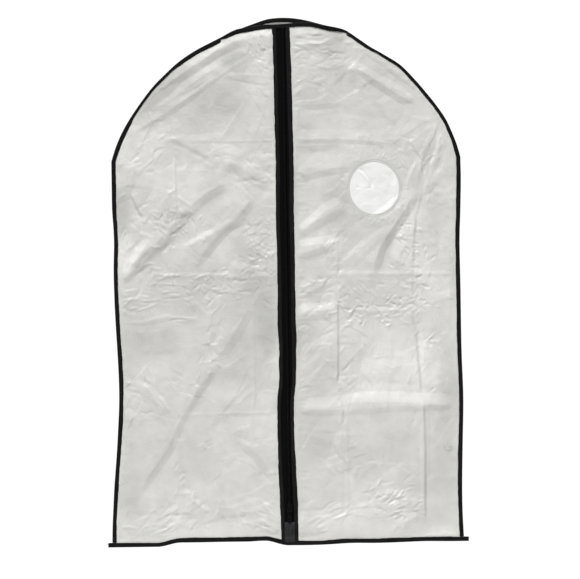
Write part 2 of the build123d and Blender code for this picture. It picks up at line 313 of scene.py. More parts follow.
def beside(pts, reach):
    """The part of the grid near a polyline, and there: how far each point is from the line, on
    which side, and how far along."""
    i0, i1 = np.searchsorted(grid_x, [pts[:, 0].min() - reach, pts[:, 0].max() + reach])
    k0, k1 = np.searchsorted(grid_z, [pts[:, 1].min() - reach, pts[:, 1].max() + reach])
    if i1 <= i0 or k1 <= k0:
        return None
    part = (slice(k0, k1), slice(i0, i1))
    x, z = GX[part], GZ[part]
    lengths = np.hypot(*np.diff(pts, axis=0).T)
    total, done = lengths.sum(), 0.0
    best = np.full(x.shape, 1e9)
    side, along = np.zeros(x.shape), np.zeros(x.shape)
    for a, b, length in zip(pts[:-1], pts[1:], lengths):
        d = (b - a) / length
        t = np.clip((x - a[0]) * d[0] + (z - a[1]) * d[1], 0, length)
        px, pz = x - a[0] - t * d[0], z - a[1] - t * d[1]
        distance = np.hypot(px, pz)
        near = distance < best
        best = np.where(near, distance, best)
        side = np.where(near, d[0] * pz - d[1] * px, side)
        along = np.where(near, (done + t) / total, along)
        done += length
    return part, best, side, along


def faded(along, taper):
    """Fades out towards both ends of a line."""
    return smooth(along / taper) * smooth((1 - along) / taper)


def stroke(field, points, height, left_width, right_width, taper=0.25, sharp=1.6):
    """Adds a ridge (or, with a negative height, a valley) along a polyline.

    Each side falls off over its own width, so one side can be steep and the other long."""
    found = beside(np.array(points, float), max(left_width, right_width))
    if found is None:
        return
    part, best, side, along = found
    width = np.where(side > 0, left_width, right_width)
    fall = np.clip(1 - best / width, 0, 1) ** sharp
    field[part] += height * fall * faded(along, taper)


NARROW = 4                  # half width below which a crease may be steep sideways
STEEPEST = (0.30, 0.5)      # least share of a narrow and of a wide band's tilt towards the light
END_WIDTH = 0.45            # width of a band at its ends, as a share of its middle


def band(field, points, lean, half, taper=0.16, relax=3.2):
    """Tilts a band of the film along a polyline, towards the upper left or away from it.

    Outside the band the film eases back over a few widths."""
    pts = np.array(points, float)
    fade_out = 1 + 3.5 * relax
    part, best, side, along = beside(pts, half * fade_out + 4)
    chord = (pts[-1] - pts[0]) / np.hypot(*(pts[-1] - pts[0]))
    towards = -chord[1] * SLANT[0] + chord[0] * SLANT[1]
    steepest = STEEPEST[0] if half < NARROW else STEEPEST[1]
    tilt = -lean * LEAN_SLOPE / (np.sign(towards) * max(abs(towards), steepest))
    ends = faded(along, taper)
    width = half * (END_WIDTH + (1 - END_WIDTH) * ends)
    u = best / width
    profile = np.where(u < 1, u, np.exp(-(u - 1) / relax))
    profile = profile * smooth((fade_out - u) / relax)
    field[part] += tilt * width * ends * profile * np.sign(side)


def scatter(field, count, centre, spread, angle, fan, length, height, width, seed):
    """Adds many short seeded crinkles round a place, mostly along one angle in degrees."""
    rng = np.random.default_rng(seed)
    for _ in range(count):
        place = np.array(centre) + rng.normal(0, 1, 2) * np.array(spread)
        turn = math.radians(angle + rng.normal(0, fan))
        reach = length * rng.uniform(0.5, 1.5) / 2
        d = np.array((math.cos(turn), math.sin(turn)))
        bend = np.array((-d[1], d[0])) * rng.normal(0, reach * 0.12)
        points = [place - d * reach, place + bend, place + d * reach]
        size = height * rng.uniform(0.5, 1.3) * rng.choice((-1, 1))
        widths = [width * rng.uniform(0.7, 1.6) for _ in range(2)]
        stroke(field, points, size, *widths, 0.4)


# Each entry: the line a band follows (x, z), how it leans (positive faces the upper left and is
# light, negative is dark), and half its width.
PACKING_FOLDS = [
    # across, from the bag being folded for its packet
    ([(-160, -212), (-110, -215), (-18, -215)], -2.6, 1.8),
    ([(-288, -208), (-230, -212), (-190, -214)], -1.2, 1.5),
    ([(-215, -202), (-160, -206), (-105, -200)], 1.6, 5),
    ([(16, -216), (90, -216), (172, -221)], -3.0, 3.4),
    ([(16, -204), (80, -202), (205, -206)], 1.5, 9),
    ([(140, -208), (180, -207), (222, -204)], -1.2, 1.4),
    ([(16, -228), (50, -228), (98, -225)], -2.2, 5),
    ([(-246, -441), (-190, -440), (-120, -442), (-18, -444)], 2.4, 2.6),
    ([(-246, -447), (-190, -447), (-120, -449), (-18, -450)], -1.8, 3.2),
    ([(60, -440), (100, -440), (200, -442), (294, -444)], 2.6, 2.6),
    ([(40, -447), (90, -449), (200, -448), (294, -449)], -2.2, 3.0),
    ([(-292, -522), (-250, -520), (-206, -510), (-190, -514), (-150, -518)], 2.8, 2.2),
    ([(-292, -528), (-250, -526), (-204, -518), (-150, -524)], -1.6, 4),
    ([(92, -506), (130, -504), (170, -506), (230, -503)], 2.0, 3.0),
    ([(92, -512), (130, -511), (170, -513), (230, -509)], -1.0, 3.0),
    ([(-196, -682), (-110, -679), (-18, -678)], 2.0, 2.0),
    ([(-120, -684), (-60, -684), (-18, -682)], -2.4, 2.4),
    ([(-290, -690), (-240, -686), (-196, -684)], 1.6, 2.0),
    ([(14, -667), (70, -664), (130, -655), (200, -657), (292, -664)], 3.2, 9),
    ([(100, -650), (150, -640), (200, -644)], 1.8, 10),
    ([(14, -682), (100, -683), (190, -677), (292, -677)], -2.6, 5),
    ([(20, -694), (120, -694), (180, -690)], -1.2, 9),
    ([(-294, -855), (-260, -853), (-226, -850)], -2.2, 4.5),
    ([(-294, -864), (-250, -862)], 1.4, 5),
    ([(14, -846), (60, -848), (96, -846)], -1.8, 3),
    ([(14, -857), (60, -858), (100, -855)], 2.0, 7),
    # upright
    ([(-188, -238), (-188, -290), (-186, -345)], -2.6, 1.5),
    ([(-192, -238), (-193, -290), (-191, -345)], 1.2, 2.6),
    ([(-189, -690), (-186, -740), (-182, -800), (-180, -820)], -1.6, 1.8),
    ([(-196, -720), (-197, -780), (-196, -830)], 1.2, 4),
    ([(-130, -500), (-130, -560), (-131, -600)], -1.0, 1.6),
    ([(-133, -560), (-130, -592)], 4.5, 2.4),
    ([(-55, -480), (-56, -520), (-55, -590), (-56, -680)], -1.6, 1.6),
    ([(89, -372), (90, -430), (88, -448)], -1.6, 1.7),
    ([(88, -486), (88, -560), (87, -610), (84, -640)], -3.0, 1.8),
    ([(80, -560), (80, -590), (84, -626)], -1.8, 7),
    ([(86, -640), (95, -678), (92, -705)], -2.2, 2.2),
    ([(92, -760), (93, -800), (92, -850), (90, -872)], -1.8, 2.0),
    ([(102, -690), (103, -740), (102, -800), (104, -862)], -1.2, 3.0),
    ([(224, -330), (222, -380), (218, -440), (216, -500)], -1.8, 2.0),
    ([(212, -508), (222, -536), (226, -600), (230, -655)], -2.6, 2.0),
    ([(231, -540), (232, -600), (236, -650)], 1.0, 3.0),
    ([(234, -660), (236, -740), (235, -800), (235, -880)], -3.0, 2.6),
    ([(242, -664), (242, -740), (241, -800)], -1.6, 3.0),
    ([(229, -700), (228, -780), (228, -860)], 1.0, 3.0),
    ([(256, -306), (260, -350), (262, -402)], -1.4, 5),
]

SOFT_FOLDS = [
    # along the left shoulder
    ([(-48, -44), (-80, -47), (-110, -60), (-150, -86), (-200, -117), (-228, -138)], -4.2, 6.5),
    ([(-76, -38), (-50, -22)], 2.4, 2.2),
    ([(-56, -54), (-100, -69), (-150, -98), (-200, -134), (-234, -158)], 2.6, 6.5),
    ([(-50, -58), (-100, -86), (-150, -118), (-200, -142)], -2.0, 1.6),
    ([(-56, -64), (-104, -92), (-150, -124), (-190, -148)], 2.2, 3.2),
    ([(-62, -72), (-112, -100), (-150, -131), (-196, -162), (-262, -200)], -2.8, 4.5),
    ([(-190, -172), (-230, -186), (-268, -206)], -1.4, 7),
    ([(-96, -84), (-60, -74), (-18, -72)], 1.8, 9),
    ([(-104, -96), (-60, -98), (-18, -101)], 2.2, 2.4),
    ([(-108, -100), (-60, -112), (-40, -116), (-18, -118)], -2.4, 2.4),
    ([(-46, -118), (-34, -134), (-18, -146)], -1.6, 2.0),
    # from the middle of the left panel to the zip
    ([(-204, -204), (-180, -217), (-150, -232), (-124, -248)], -2.6, 3.6),
    ([(-134, -222), (-100, -224), (-66, -236)], 2.4, 7),
    ([(-124, -226), (-116, -250), (-122, -264)], -1.6, 5),
    ([(-112, -246), (-92, -246), (-70, -256)], 2.4, 2.2),
    ([(-112, -256), (-84, -262), (-60, -278), (-18, -302)], -2.6, 8),
    ([(-50, -232), (-30, -240), (-18, -256)], 1.8, 7),
    ([(-64, -246), (-48, -262), (-22, -280)], 1.8, 5),
    # light planes left of the middle
    ([(-266, -302), (-252, -268), (-232, -244), (-206, -228)], -1.8, 2.4),
    ([(-274, -250), (-280, -290)], 1.4, 8),
    # the big diagonals of the left panel
    ([(-92, -286), (-130, -306), (-166, -334), (-188, -350)], -2.6, 7.5),
    ([(-180, -344), (-200, -378), (-240, -410), (-292, -462)], -3.0, 9),
    ([(-64, -300), (-110, -324), (-150, -352), (-178, -372)], 0.8, 14),
    ([(-56, -304), (-92, -346), (-112, -360), (-150, -378), (-182, -396)], 3.2, 4.0),
    ([(-120, -366), (-150, -376), (-172, -390)], 1.8, 5),
    ([(-50, -310), (-78, -350), (-108, -374), (-134, -404), (-156, -432)], -3.2, 6.0),
    ([(-268, -300), (-252, -334), (-240, -346)], -2.8, 2.2),
    ([(-250, -336), (-230, -352), (-208, -380)], 2.2, 2.2),
    ([(-256, -346), (-250, -366), (-226, -376)], 1.8, 2.4),
    ([(-236, -376), (-256, -400), (-272, -424)], 3.0, 5.5),
    ([(-262, -372), (-258, -386), (-278, -404)], -1.8, 2.2),
    ([(-262, -424), (-284, -446)], 2.0, 4),
    ([(-206, -392), (-236, -416), (-262, -438)], 1.2, 2.4),
    ([(-100, -424), (-64, -430), (-34, -438)], 3.0, 6),
    ([(-120, -432), (-100, -424), (-84, -432)], -1.6, 3),
    # below the fold
    ([(-290, -470), (-262, -478), (-236, -480)], 1.8, 3.0),
    ([(-166, -486), (-150, -492), (-138, -512)], 1.6, 3.0),
    ([(-24, -464), (-50, -474), (-58, -496)], 2.4, 3.4),
    ([(-60, -500), (-80, -540), (-118, -594)], -2.4, 7),
    ([(-74, -514), (-100, -546)], 2.6, 2.0),
    ([(-116, -544), (-126, -566), (-118, -584)], 2.0, 3.4),
    ([(-280, -560), (-230, -560), (-180, -556)], -1.3, 20),
    # lower left
    ([(-112, -592), (-150, -642), (-180, -690), (-200, -738), (-252, -812), (-268, -836)],
     -3.0, 5.5),
    ([(-150, -628), (-184, -684), (-212, -736), (-256, -800)], 1.3, 3.2),
    ([(-160, -630), (-164, -652)], 3.6, 3.2),
    ([(-282, -612), (-268, -626)], 3.0, 6),
    ([(-262, -618), (-230, -644), (-200, -682)], 2.0, 5),
    ([(-226, -650), (-204, -682)], -2.6, 1.6),
    ([(-284, -672), (-262, -684)], 3.4, 6),
    ([(-60, -627), (-90, -656), (-120, -686)], -2.6, 2.0),
    ([(-54, -634), (-84, -660), (-112, -688)], 1.6, 2.4),
    ([(-118, -686), (-128, -704)], -2.0, 4),
    ([(-110, -704), (-86, -698), (-64, -702)], 1.8, 11),
    ([(-100, -716), (-82, -706), (-62, -700)], 2.6, 2.0),
    ([(-94, -722), (-72, -732), (-50, -738)], 2.6, 3.4),
    ([(-84, -734), (-58, -756), (-36, -786), (-24, -800)], -2.8, 6),
    ([(-46, -778), (-40, -806), (-30, -842)], 3.0, 5),
    ([(-146, -730), (-140, -742)], 2.0, 3),
    ([(-190, -808), (-172, -818), (-160, -838)], 2.2, 4),
    ([(-166, -826), (-146, -842), (-136, -848)], 3.2, 3.4),
    ([(-134, -840), (-100, -842), (-66, -830), (-44, -828)], 2.8, 3.0),
    ([(-128, -848), (-90, -848), (-60, -838)], -1.2, 3),
    ([(-18, -846), (-60, -853), (-120, -861), (-160, -876), (-200, -892)], -3.0, 3.4),
    ([(-46, -862), (-90, -872), (-146, -872)], 3.0, 2.2),
    ([(-40, -868), (-90, -880), (-140, -880)], -1.6, 3.0),
    ([(-150, -890), (-90, -889), (-36, -888)], 3.0, 6),
    ([(-286, -880), (-250, -872), (-216, -880)], 1.6, 8),
    ([(-200, -862), (-176, -868), (-158, -866)], 2.4, 4),
    # right shoulder
    ([(112, -74), (160, -104), (200, -124), (234, -146)], 3.6, 5.5),
    ([(120, -86), (150, -112), (196, -142), (246, -168)], -3.6, 5.5),
    ([(138, -62), (170, -80), (206, -112), (232, -136)], -2.8, 4.5),
    ([(20, -36), (60, -32), (96, -26)], -2.0, 2.4),
    ([(20, -44), (60, -42), (100, -34)], 1.6, 3.0),
    ([(20, -56), (60, -55), (108, -68)], -2.0, 3.4),
    ([(104, -38), (118, -44), (140, -56)], 1.8, 4),
    ([(106, -92), (120, -104), (134, -128)], -1.6, 8),
    ([(70, -126), (90, -114), (104, -98)], -1.8, 2.0),
    ([(18, -146), (56, -144), (84, -130)], 2.2, 2.0),
    ([(16, -158), (60, -156), (104, -154)], -2.4, 4.5),
    ([(158, -144), (168, -168), (190, -192)], -1.4, 5),
    ([(20, -184), (110, -180), (196, -190)], 1.0, 11),
    ([(206, -160), (236, -172), (262, -176)], 1.6, 7),
    # the fan from the right shoulder's corner
    ([(270, -172), (236, -188), (206, -208), (172, -232)], -1.8, 2.2),
    ([(272, -178), (240, -198), (208, -222), (180, -244)], 1.4, 3.0),
    ([(268, -182), (250, -220), (236, -262), (228, -300)], -2.2, 3.0),
    ([(276, -190), (262, -230), (246, -280), (238, -310)], 2.2, 3.4),
    ([(258, -190), (244, -220), (214, -270), (200, -300)], 1.8, 3.0),
    ([(212, -214), (232, -242), (238, -254)], -2.6, 2.2),
    ([(226, -250), (212, -280), (204, -310)], 2.2, 2.6),
    ([(280, -204), (270, -240), (256, -270)], -1.8, 4),
    ([(284, -236), (266, -262), (250, -294)], 1.6, 5),
    ([(232, -300), (214, -334), (190, -368), (166, -404), (152, -452)], -4.0, 6.5),
    ([(238, -300), (226, -346), (222, -384)], -2.8, 2.0),
    ([(206, -350), (196, -390), (176, -440)], 1.4, 9),
    ([(240, -330), (254, -360), (290, -434)], 1.8, 2.0),
    ([(256, -300), (262, -330)], 1.6, 4),
    # round and below the window
    ([(16, -250), (60, -248), (110, -250)], 1.4, 12),
    ([(16, -284), (60, -272), (112, -263)], -2.8, 6),
    ([(100, -312), (66, -330), (40, -352), (18, -374)], 2.8, 6.5),
    ([(108, -326), (80, -346), (40, -366), (18, -382)], -2.6, 7),
    ([(18, -392), (50, -386), (88, -382)], 3.0, 6.5),
    ([(16, -420), (44, -410), (78, -398)], -2.6, 6.5),
    ([(176, -362), (140, -386), (104, -414), (92, -430)], 2.2, 4.5),
    ([(186, -372), (150, -398), (112, -436)], -1.8, 4),
    ([(142, -350), (118, -366), (98, -376)], 1.4, 5),
    ([(20, -462), (44, -456), (68, -460)], 2.8, 5),
    ([(78, -458), (50, -474), (18, -484)], -2.4, 5),
    ([(100, -456), (130, -462), (160, -462)], -2.2, 8),
    ([(18, -500), (50, -500), (86, -496)], 3.0, 7),
    ([(18, -518), (50, -518), (84, -514)], -2.6, 5),
    ([(20, -536), (50, -540), (66, -530)], -1.2, 10),
    ([(250, -486), (272, -480), (292, -474)], 2.2, 6),
    ([(188, -490), (214, -488)], 3.0, 2.4),
    # lower right
    ([(232, -572), (240, -562), (248, -574)], 4.4, 3.6),
    ([(236, -590), (242, -612), (252, -640)], 1.2, 6),
    ([(48, -556), (58, -560), (68, -548)], 2.4, 4),
    ([(20, -606), (44, -590), (58, -576)], 2.0, 3),
    ([(24, -636), (44, -616), (60, -604)], 1.8, 4),
    ([(20, -626), (36, -640), (60, -636)], -1.6, 5),
    ([(176, -530), (182, -560), (188, -590)], -1.6, 5),
    ([(110, -560), (128, -578), (150, -560)], -1.4, 3),
    ([(120, -606), (150, -600), (190, -606)], 1.8, 12),
    ([(128, -614), (148, -640)], -1.2, 3),
    ([(200, -600), (208, -640)], 1.2, 4),
    ([(86, -712), (84, -740), (92, -756)], 1.8, 7),
    ([(74, -724), (78, -744), (100, -772), (114, -804)], -2.2, 3.4),
    ([(114, -804), (124, -784), (150, -764)], 1.8, 3.0),
    ([(106, -760), (112, -780)], 1.6, 7),
    ([(122, -800), (136, -784), (154, -772)], -1.6, 3.4),
    ([(42, -753), (60, -764), (80, -788), (92, -812)], 1.8, 2.2),
    ([(60, -772), (78, -800), (86, -830)], -1.2, 5),
    ([(288, -690), (266, -722), (246, -752)], 2.0, 2.2),
    ([(292, -700), (272, -730), (252, -756)], -1.4, 3),
    ([(262, -690), (276, -686), (284, -694)], 1.6, 5),
    ([(202, -706), (214, -726), (228, -750)], 1.8, 1.8),
    ([(200, -816), (216, -800), (228, -784)], -2.0, 2.2),
    ([(150, -824), (180, -820), (214, -826)], 3.4, 6),
    ([(160, -838), (190, -840), (226, -836)], 3.0, 6),
    ([(100, -850), (130, -840), (156, -828)], 2.4, 3.4),
    ([(150, -848), (190, -854), (226, -850)], -2.0, 3),
    ([(18, -902), (60, -890), (100, -872), (140, -856)], -2.6, 3.0),
    ([(30, -884), (66, -872), (96, -862)], 2.2, 5),
    ([(60, -878), (84, -866), (92, -860)], -1.8, 1.8),
    ([(108, -896), (124, -880), (138, -868)], -1.8, 4),
    ([(120, -894), (146, -890), (166, -896)], 2.6, 5),
    ([(164, -894), (188, -872), (224, -856)], 3.2, 4.5),
    ([(196, -894), (212, -876), (228, -868)], -2.4, 8),
    ([(236, -896), (246, -880), (262, -866)], -2.4, 3),
    ([(250, -894), (270, -884), (292, -882)], 3.4, 7),
    ([(120, -730), (170, -740), (210, -760)], -0.8, 22),
]

# Crinkles: how many, round where, how widely spread, angle, fan, length, height, width
CRINKLES = [
    (34, (-215, -468), (44, 24), 2, 14, 34, 0.8, 3.2),
    (30, (-40, -390), (18, 30), -40, 40, 16, 0.9, 3.0),
    (30, (-190, -350), (24, 20), 30, 60, 16, 0.9, 3.0),
    (36, (-110, -455), (50, 18), -20, 50, 16, 0.85, 2.8),
    (36, (130, -515), (40, 16), 20, 60, 16, 0.95, 2.8),
    (40, (215, -410), (14, 40), -30, 50, 14, 1.0, 2.8),
    (20, (205, -490), (16, 8), 10, 40, 14, 1.1, 2.8),
    (30, (-80, -855), (50, 18), -25, 35, 20, 0.8, 3.0),
    (24, (-40, -60), (16, 26), -50, 30, 18, 0.8, 3.0),
    (30, (60, -60), (36, 26), 8, 18, 30, 0.6, 3.2),
    (26, (200, -840), (34, 20), 30, 30, 18, 0.9, 3.0),
    (34, (-110, -462), (42, 22), -25, 40, 22, 0.75, 3.8),
    (40, (-42, -408), (18, 34), 20, 60, 20, 0.75, 3.6),
    (26, (-198, -372), (26, 30), 40, 40, 20, 0.85, 4.0),
    (22, (-262, -400), (20, 34), 70, 25, 34, 0.85, 5.0),
    (18, (-222, -342), (26, 18), -50, 18, 34, 0.85, 4.6),
    (16, (-130, -560), (14, 36), 88, 20, 18, 0.95, 3.6),
    (16, (-238, -626), (30, 22), -45, 25, 24, 0.9, 4.4),
    (22, (-182, -815), (22, 30), 70, 35, 26, 0.9, 4.6),
    (34, (-220, -866), (46, 16), 20, 25, 36, 0.9, 4.6),
    (26, (-44, -862), (20, 18), -35, 30, 26, 0.85, 3.8),
    (22, (-110, -886), (50, 10), 4, 14, 40, 0.7, 4.4),
    (16, (-40, -40), (14, 14), -60, 30, 18, 0.8, 3.6),
    (26, (-240, -232), (34, 20), 35, 25, 30, 0.8, 4.6),
    (16, (-50, -256), (24, 20), -40, 30, 26, 0.9, 4.4),
    (22, (50, -42), (34, 14), 5, 14, 34, 0.55, 4.2),
    (20, (46, -130), (24, 34), 0, 25, 26, 0.5, 4.4),
    (26, (200, -232), (34, 18), -48, 20, 28, 0.65, 3.8),
    (22, (262, -240), (16, 34), 72, 15, 40, 0.7, 4.2),
    (40, (214, -402), (14, 36), -35, 45, 18, 0.9, 3.6),
    (30, (224, -468), (16, 22), -50, 40, 18, 0.9, 3.6),
    (44, (150, -506), (56, 12), -8, 28, 22, 0.85, 3.6),
    (26, (112, -484), (26, 18), -45, 22, 22, 0.75, 3.6),
    (18, (84, -402), (14, 24), 50, 30, 20, 0.7, 3.8),
    (18, (60, -470), (30, 18), 20, 25, 28, 0.7, 4.2),
    (22, (46, -590), (24, 34), 42, 14, 34, 0.75, 4.4),
    (20, (246, -600), (20, 46), 60, 40, 26, 0.8, 4.2),
    (16, (130, -560), (30, 30), -60, 30, 28, 0.6, 4.6),
    (14, (100, -640), (10, 22), 80, 20, 20, 0.7, 3.6),
    (40, (186, -832), (26, 12), 28, 25, 20, 1.1, 3.8),
    (24, (92, -862), (34, 14), 28, 14, 40, 0.8, 3.8),
    (30, (140, -893), (50, 8), 20, 20, 26, 0.9, 4.0),
    (22, (266, -884), (20, 12), 10, 30, 24, 0.9, 4.4),
    (18, (90, -740), (20, 40), -70, 30, 26, 0.55, 4.2),
]


def front_relief():
    """Height of the front film's wrinkles above its smooth belly."""
    field = clouds((1.2, 70, 0), (0.35, 30, 1), (0.12, 9, 2), (0.034, 4.5, 5))
    for fold in PACKING_FOLDS:
        band(field, *fold, taper=0.08)
    for fold in SOFT_FOLDS:
        band(field, *fold)
    for seed, crinkle in enumerate(CRINKLES):
        scatter(field, *crinkle, seed)
    zip_puckers(field, RNG_SEED)
    weld_puckers(field, RNG_SEED + 4)
    facets(field, RNG_SEED + 3, 190)
    return field


def back_relief():
    """Height of the back film's wrinkles."""
    field = clouds((1.3, 70, 10), (0.5, 24, 11), (0.07, 7, 12))
    for level, size in ((-215, -1.2), (-445, 1.6), (-680, -1.6), (-850, 1.4)):
        stroke(field, [(-290, level - 4), (0, level), (290, level + 3)], size, 12, 20, 0.05)
    for place, size in ((-195, 1.1), (-57, -1.0), (90, 1.2), (234, -1.4)):
        stroke(field, [(place, -880), (place + 3, -500), (place, -160)], size, 6, 6, 0.08)
    facets(field, RNG_SEED + 13, 190)
    rng = np.random.default_rng(RNG_SEED + 14)
    for index in range(26):
        centre = (rng.uniform(-270, 270), rng.uniform(-890, -120))
        scatter(field, 20, centre, (26, 22), rng.uniform(-80, 80), 30, 26, 0.8, 4.0, 200 + index)
    return field


def facets(field, seed, count):
    """Adds long faint creases, steep on one side, that break the film into flat facets."""
    rng = np.random.default_rng(seed)
    for _ in range(count):
        start = np.array((rng.uniform(-290, 290), rng.uniform(-900, -40)))
        turn = rng.uniform(0, 2 * math.pi)
        reach = rng.uniform(40, 130)
        d = np.array((math.cos(turn), math.sin(turn)))
        bend = np.array((-d[1], d[0])) * rng.normal(0, 7)
        points = [start, start + d * reach / 2 + bend, start + d * reach]
        size = rng.uniform(0.15, 0.55) * rng.choice((-1, 1))
        stroke(field, points, size, rng.uniform(2, 6), rng.uniform(10, 32), 0.35)


def weld_puckers(field, seed):
    """Adds short gathers that run outwards from the window's weld."""
    rng = np.random.default_rng(seed)
    for _ in range(46):
        angle = rng.uniform(0, 2 * math.pi)
        start, reach = WINDOW_RADIUS + rng.uniform(4, 9), rng.uniform(6, 17)
        tip = angle + rng.normal(0, 0.16)
        points = [(WINDOW_X + radius * math.cos(a), WINDOW_Z + radius * math.sin(a))
                  for radius, a in ((start, angle), (start + reach, tip))]
        stroke(field, points, rng.uniform(0.3, 0.7) * rng.choice((-1, 1)), 2.6, 3.4, 0.35)


def zip_puckers(field, seed):
    """Adds short sideways gathers where the film is sewn to the zip."""
    rng = np.random.default_rng(seed)
    for side in (-1, 1):
        z = -30.0
        while z > -880:
            z -= rng.uniform(4, 15)
            reach = rng.uniform(10, 34)
            points = [(side * 8, z), (side * (14 + reach * 0.5), z + rng.normal(0, 2)),
                      (side * (14 + reach), z + rng.normal(0, 4))]
            stroke(field, points, rng.uniform(0.1, 0.5) * rng.choice((-1, 1)), 4.4, 5.4, 0.3)


def hem_forward(x, z):
    """How far the hem is pulled forward in the middle, where the foot of the zip hangs in it."""
    return 9.5 * bell(x, 0, 150) * smooth((-745 - z) / 130)


BELLY_REACH = 230           # distance from the seams at which the film reaches its full depth


def belly(u, v, top):
    """Share of the full depth, from nothing in the seams to 1 far inside, for a pattern point."""
    arc = SHOULDER_RADIUS - np.hypot(u, np.maximum(v - SHOULDER_CENTRE, 0))
    inside = (HALF_WIDTH - 4 - np.abs(u), v - FLOOR + 10, arc - 4)
    shares = [np.clip(distance / BELLY_REACH, 0.005, 1) for distance in inside]
    dome = np.minimum(1, 1.3 * sum(share ** -3 for share in shares) ** (-1 / 3))
    if top is back_top:
        return dome
    at_neck = smooth((NECK_OPENING - np.abs(u)) / 60) * smooth((v + 170) / 110)
    at_zip = (1 - smooth((np.abs(u) - 13) / 110)) * smooth((v - FLOOR + 25) / 62)
    return 1 - (1 - dome) * (1 - at_neck) * (1 - at_zip)


LEAST_DEPTH = 0.35          # of a film in front of the seam plane, at the seams
ROUNDING = 0.15             # of the film's limits
PULL_WAY = (0.60, -0.80)    # the film round the window leans forward towards its lower right


def near_window(beyond, run):
    """1 round the window, fading out over a run that ends at a distance beyond its edge."""
    return smooth((WINDOW_RADIUS + beyond - from_window(GX, GZ)) / run)


def film_height(relief, top):
    """Depth of a film in front of (or behind) the seam plane, over the grid."""
    front = top is front_top
    u, v = unwarp(GX, GZ)
    from_edge = inset(u, v, top)
    calm = smooth((from_edge - 6.5) / 14)
    ripple = clouds((0.16, 5.5, 30)) * smooth((from_edge - 6) / 5)
    ripple = ripple * bell(from_edge, 12, 12)
    if front:
        calm = calm * smooth((np.abs(GX) - 12.5) / 12)
        calm = calm * (1 - 0.75 * bell(GX, 284, 18) * bell(GZ, -832, 42))
        calm = calm * (1 - 0.85 * near_window(14, 16))
        ripple = ripple * smooth((np.abs(GX) - 14) / 10)
    depth = FRONT_DEPTH if front else BACK_DEPTH
    height = LEAST_DEPTH + (depth - LEAST_DEPTH) * belly(u, v, top) + relief * calm + ripple
    ceiling = 0.55 + 0.4 * np.maximum(from_edge - 8.5, 0)   # under the tapes at the edges
    pulled = hem_forward(GX, GZ)
    if not front:
        return at_least(at_most(height, ceiling, ROUNDING), 0, ROUNDING) - pulled
    height -= 0.25 * near_window(4.5, 2.5)
    beyond = np.maximum((GX - 172) * PULL_WAY[0] + (GZ + 328) * PULL_WAY[1] + 3, 0)
    height += 0.12 * beyond * near_window(26, 26) + 0.10 * beyond * near_window(3, 6)
    ceiling += pulled + 30 * smooth((118 - np.abs(u)) / 60) * smooth((v + 170) / 110)
    return at_least(at_most(height, ceiling, ROUNDING), pulled, ROUNDING)


front_height = film_height(front_relief(), front_top)
back_height = film_height(back_relief(), back_top)


def film_surface(height, direction, x, z, lift=0.0):
    """Points and outward normals of a film; direction -1 is the front, +1 the back."""
    slope_z, slope_x = np.gradient(height, STEP)
    y = SEAM_Y + direction * (sample(height, x, z) + lift)
    normals = np.stack([-sample(slope_x, x, z), np.full(len(y), float(direction)),
                        -sample(slope_z, x, z)], axis=1)
    normals /= np.linalg.norm(normals, axis=1)[:, None]
    return np.stack([x, y, z], axis=1), normals


def pattern_grid(columns, rows, top):
    """Flat grid of a panel's pattern, from the hem to its upper edge, already warped."""
    share = np.linspace(0, 1, rows)[:, None]
    foot = FLOOR + FILM_MARGIN
    head = top(columns) - FILM_MARGIN
    x = np.repeat(columns[None, :], rows, axis=0)
    z = foot + share * (head - foot)[None, :]
    x, z = warp(x, z)
    return x.ravel(), z.ravel()


def cut_flat(x, z, faces, lines):
    """Cuts a flat mesh along straight lines, each a point and a normal, keeping both sides."""
    bm = bmesh.new()
    verts = [bm.verts.new((a, 0, b)) for a, b in zip(x, z)]
    for f in faces:
        bm.faces.new([verts[i] for i in f])
    for (px, pz), (nx, nz) in lines:
        geometry = bm.verts[:] + bm.edges[:] + bm.faces[:]
        bmesh.ops.bisect_plane(bm, geom=geometry, dist=1e-4, plane_co=(px, 0, pz),
                               plane_no=(nx, 0, nz))
    bm.verts.index_update()
    points = np.array([(v.co.x, v.co.z) for v in bm.verts])
    cut_faces = [[v.index for v in f.verts] for f in bm.faces]
    bm.free()
    return points, cut_faces


def ramps(x, z, side):
    """How far a point lies along each of the three ramps of a front panel."""
    shoulder = (-(x - SHOULDER_RAMP_START[0]) * SHOULDER_RAMP_WAY[0] * side
                - (z - SHOULDER_RAMP_START[1]) * SHOULDER_RAMP_WAY[1]) / SHOULDER_RAMP
    hem = (z - HEM_RAMP_START) / HEM_RAMP
    seam = (HINGE_X - side * x) / SIDE_RAMP
    return np.stack([shoulder, hem, seam])


def ramp_lines(side):
    """The three lines on which two ramps are equal, as a point and a normal each."""
    lines = []
    origin, *units = (ramps(np.array([x]), np.array([z]), side)[:, 0]
                      for x, z in ((0.0, 0.0), (1.0, 0.0), (0.0, 1.0)))
    gradient = np.stack([unit - origin for unit in units], axis=1)
    for a, b in ((0, 1), (0, 2), (1, 2)):
        normal = gradient[a] - gradient[b]
        offset = origin[a] - origin[b]
        lines.append((tuple(-offset * normal / (normal @ normal)), tuple(normal)))
    return lines


def flap_blend(obj, ramp):
    """Bakes a piece's transform into its mesh."""
    if ramp == "shoulder":
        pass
    elif ramp == "hem":
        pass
    else:
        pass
    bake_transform(obj)


def subset(points, faces, chosen):
    """The points and faces of part of a mesh."""
    used = sorted({i for f in chosen for i in faces[f]})
    place = {old: new for new, old in enumerate(used)}
    return points[used], [[place[i] for i in faces[f]] for f in chosen]


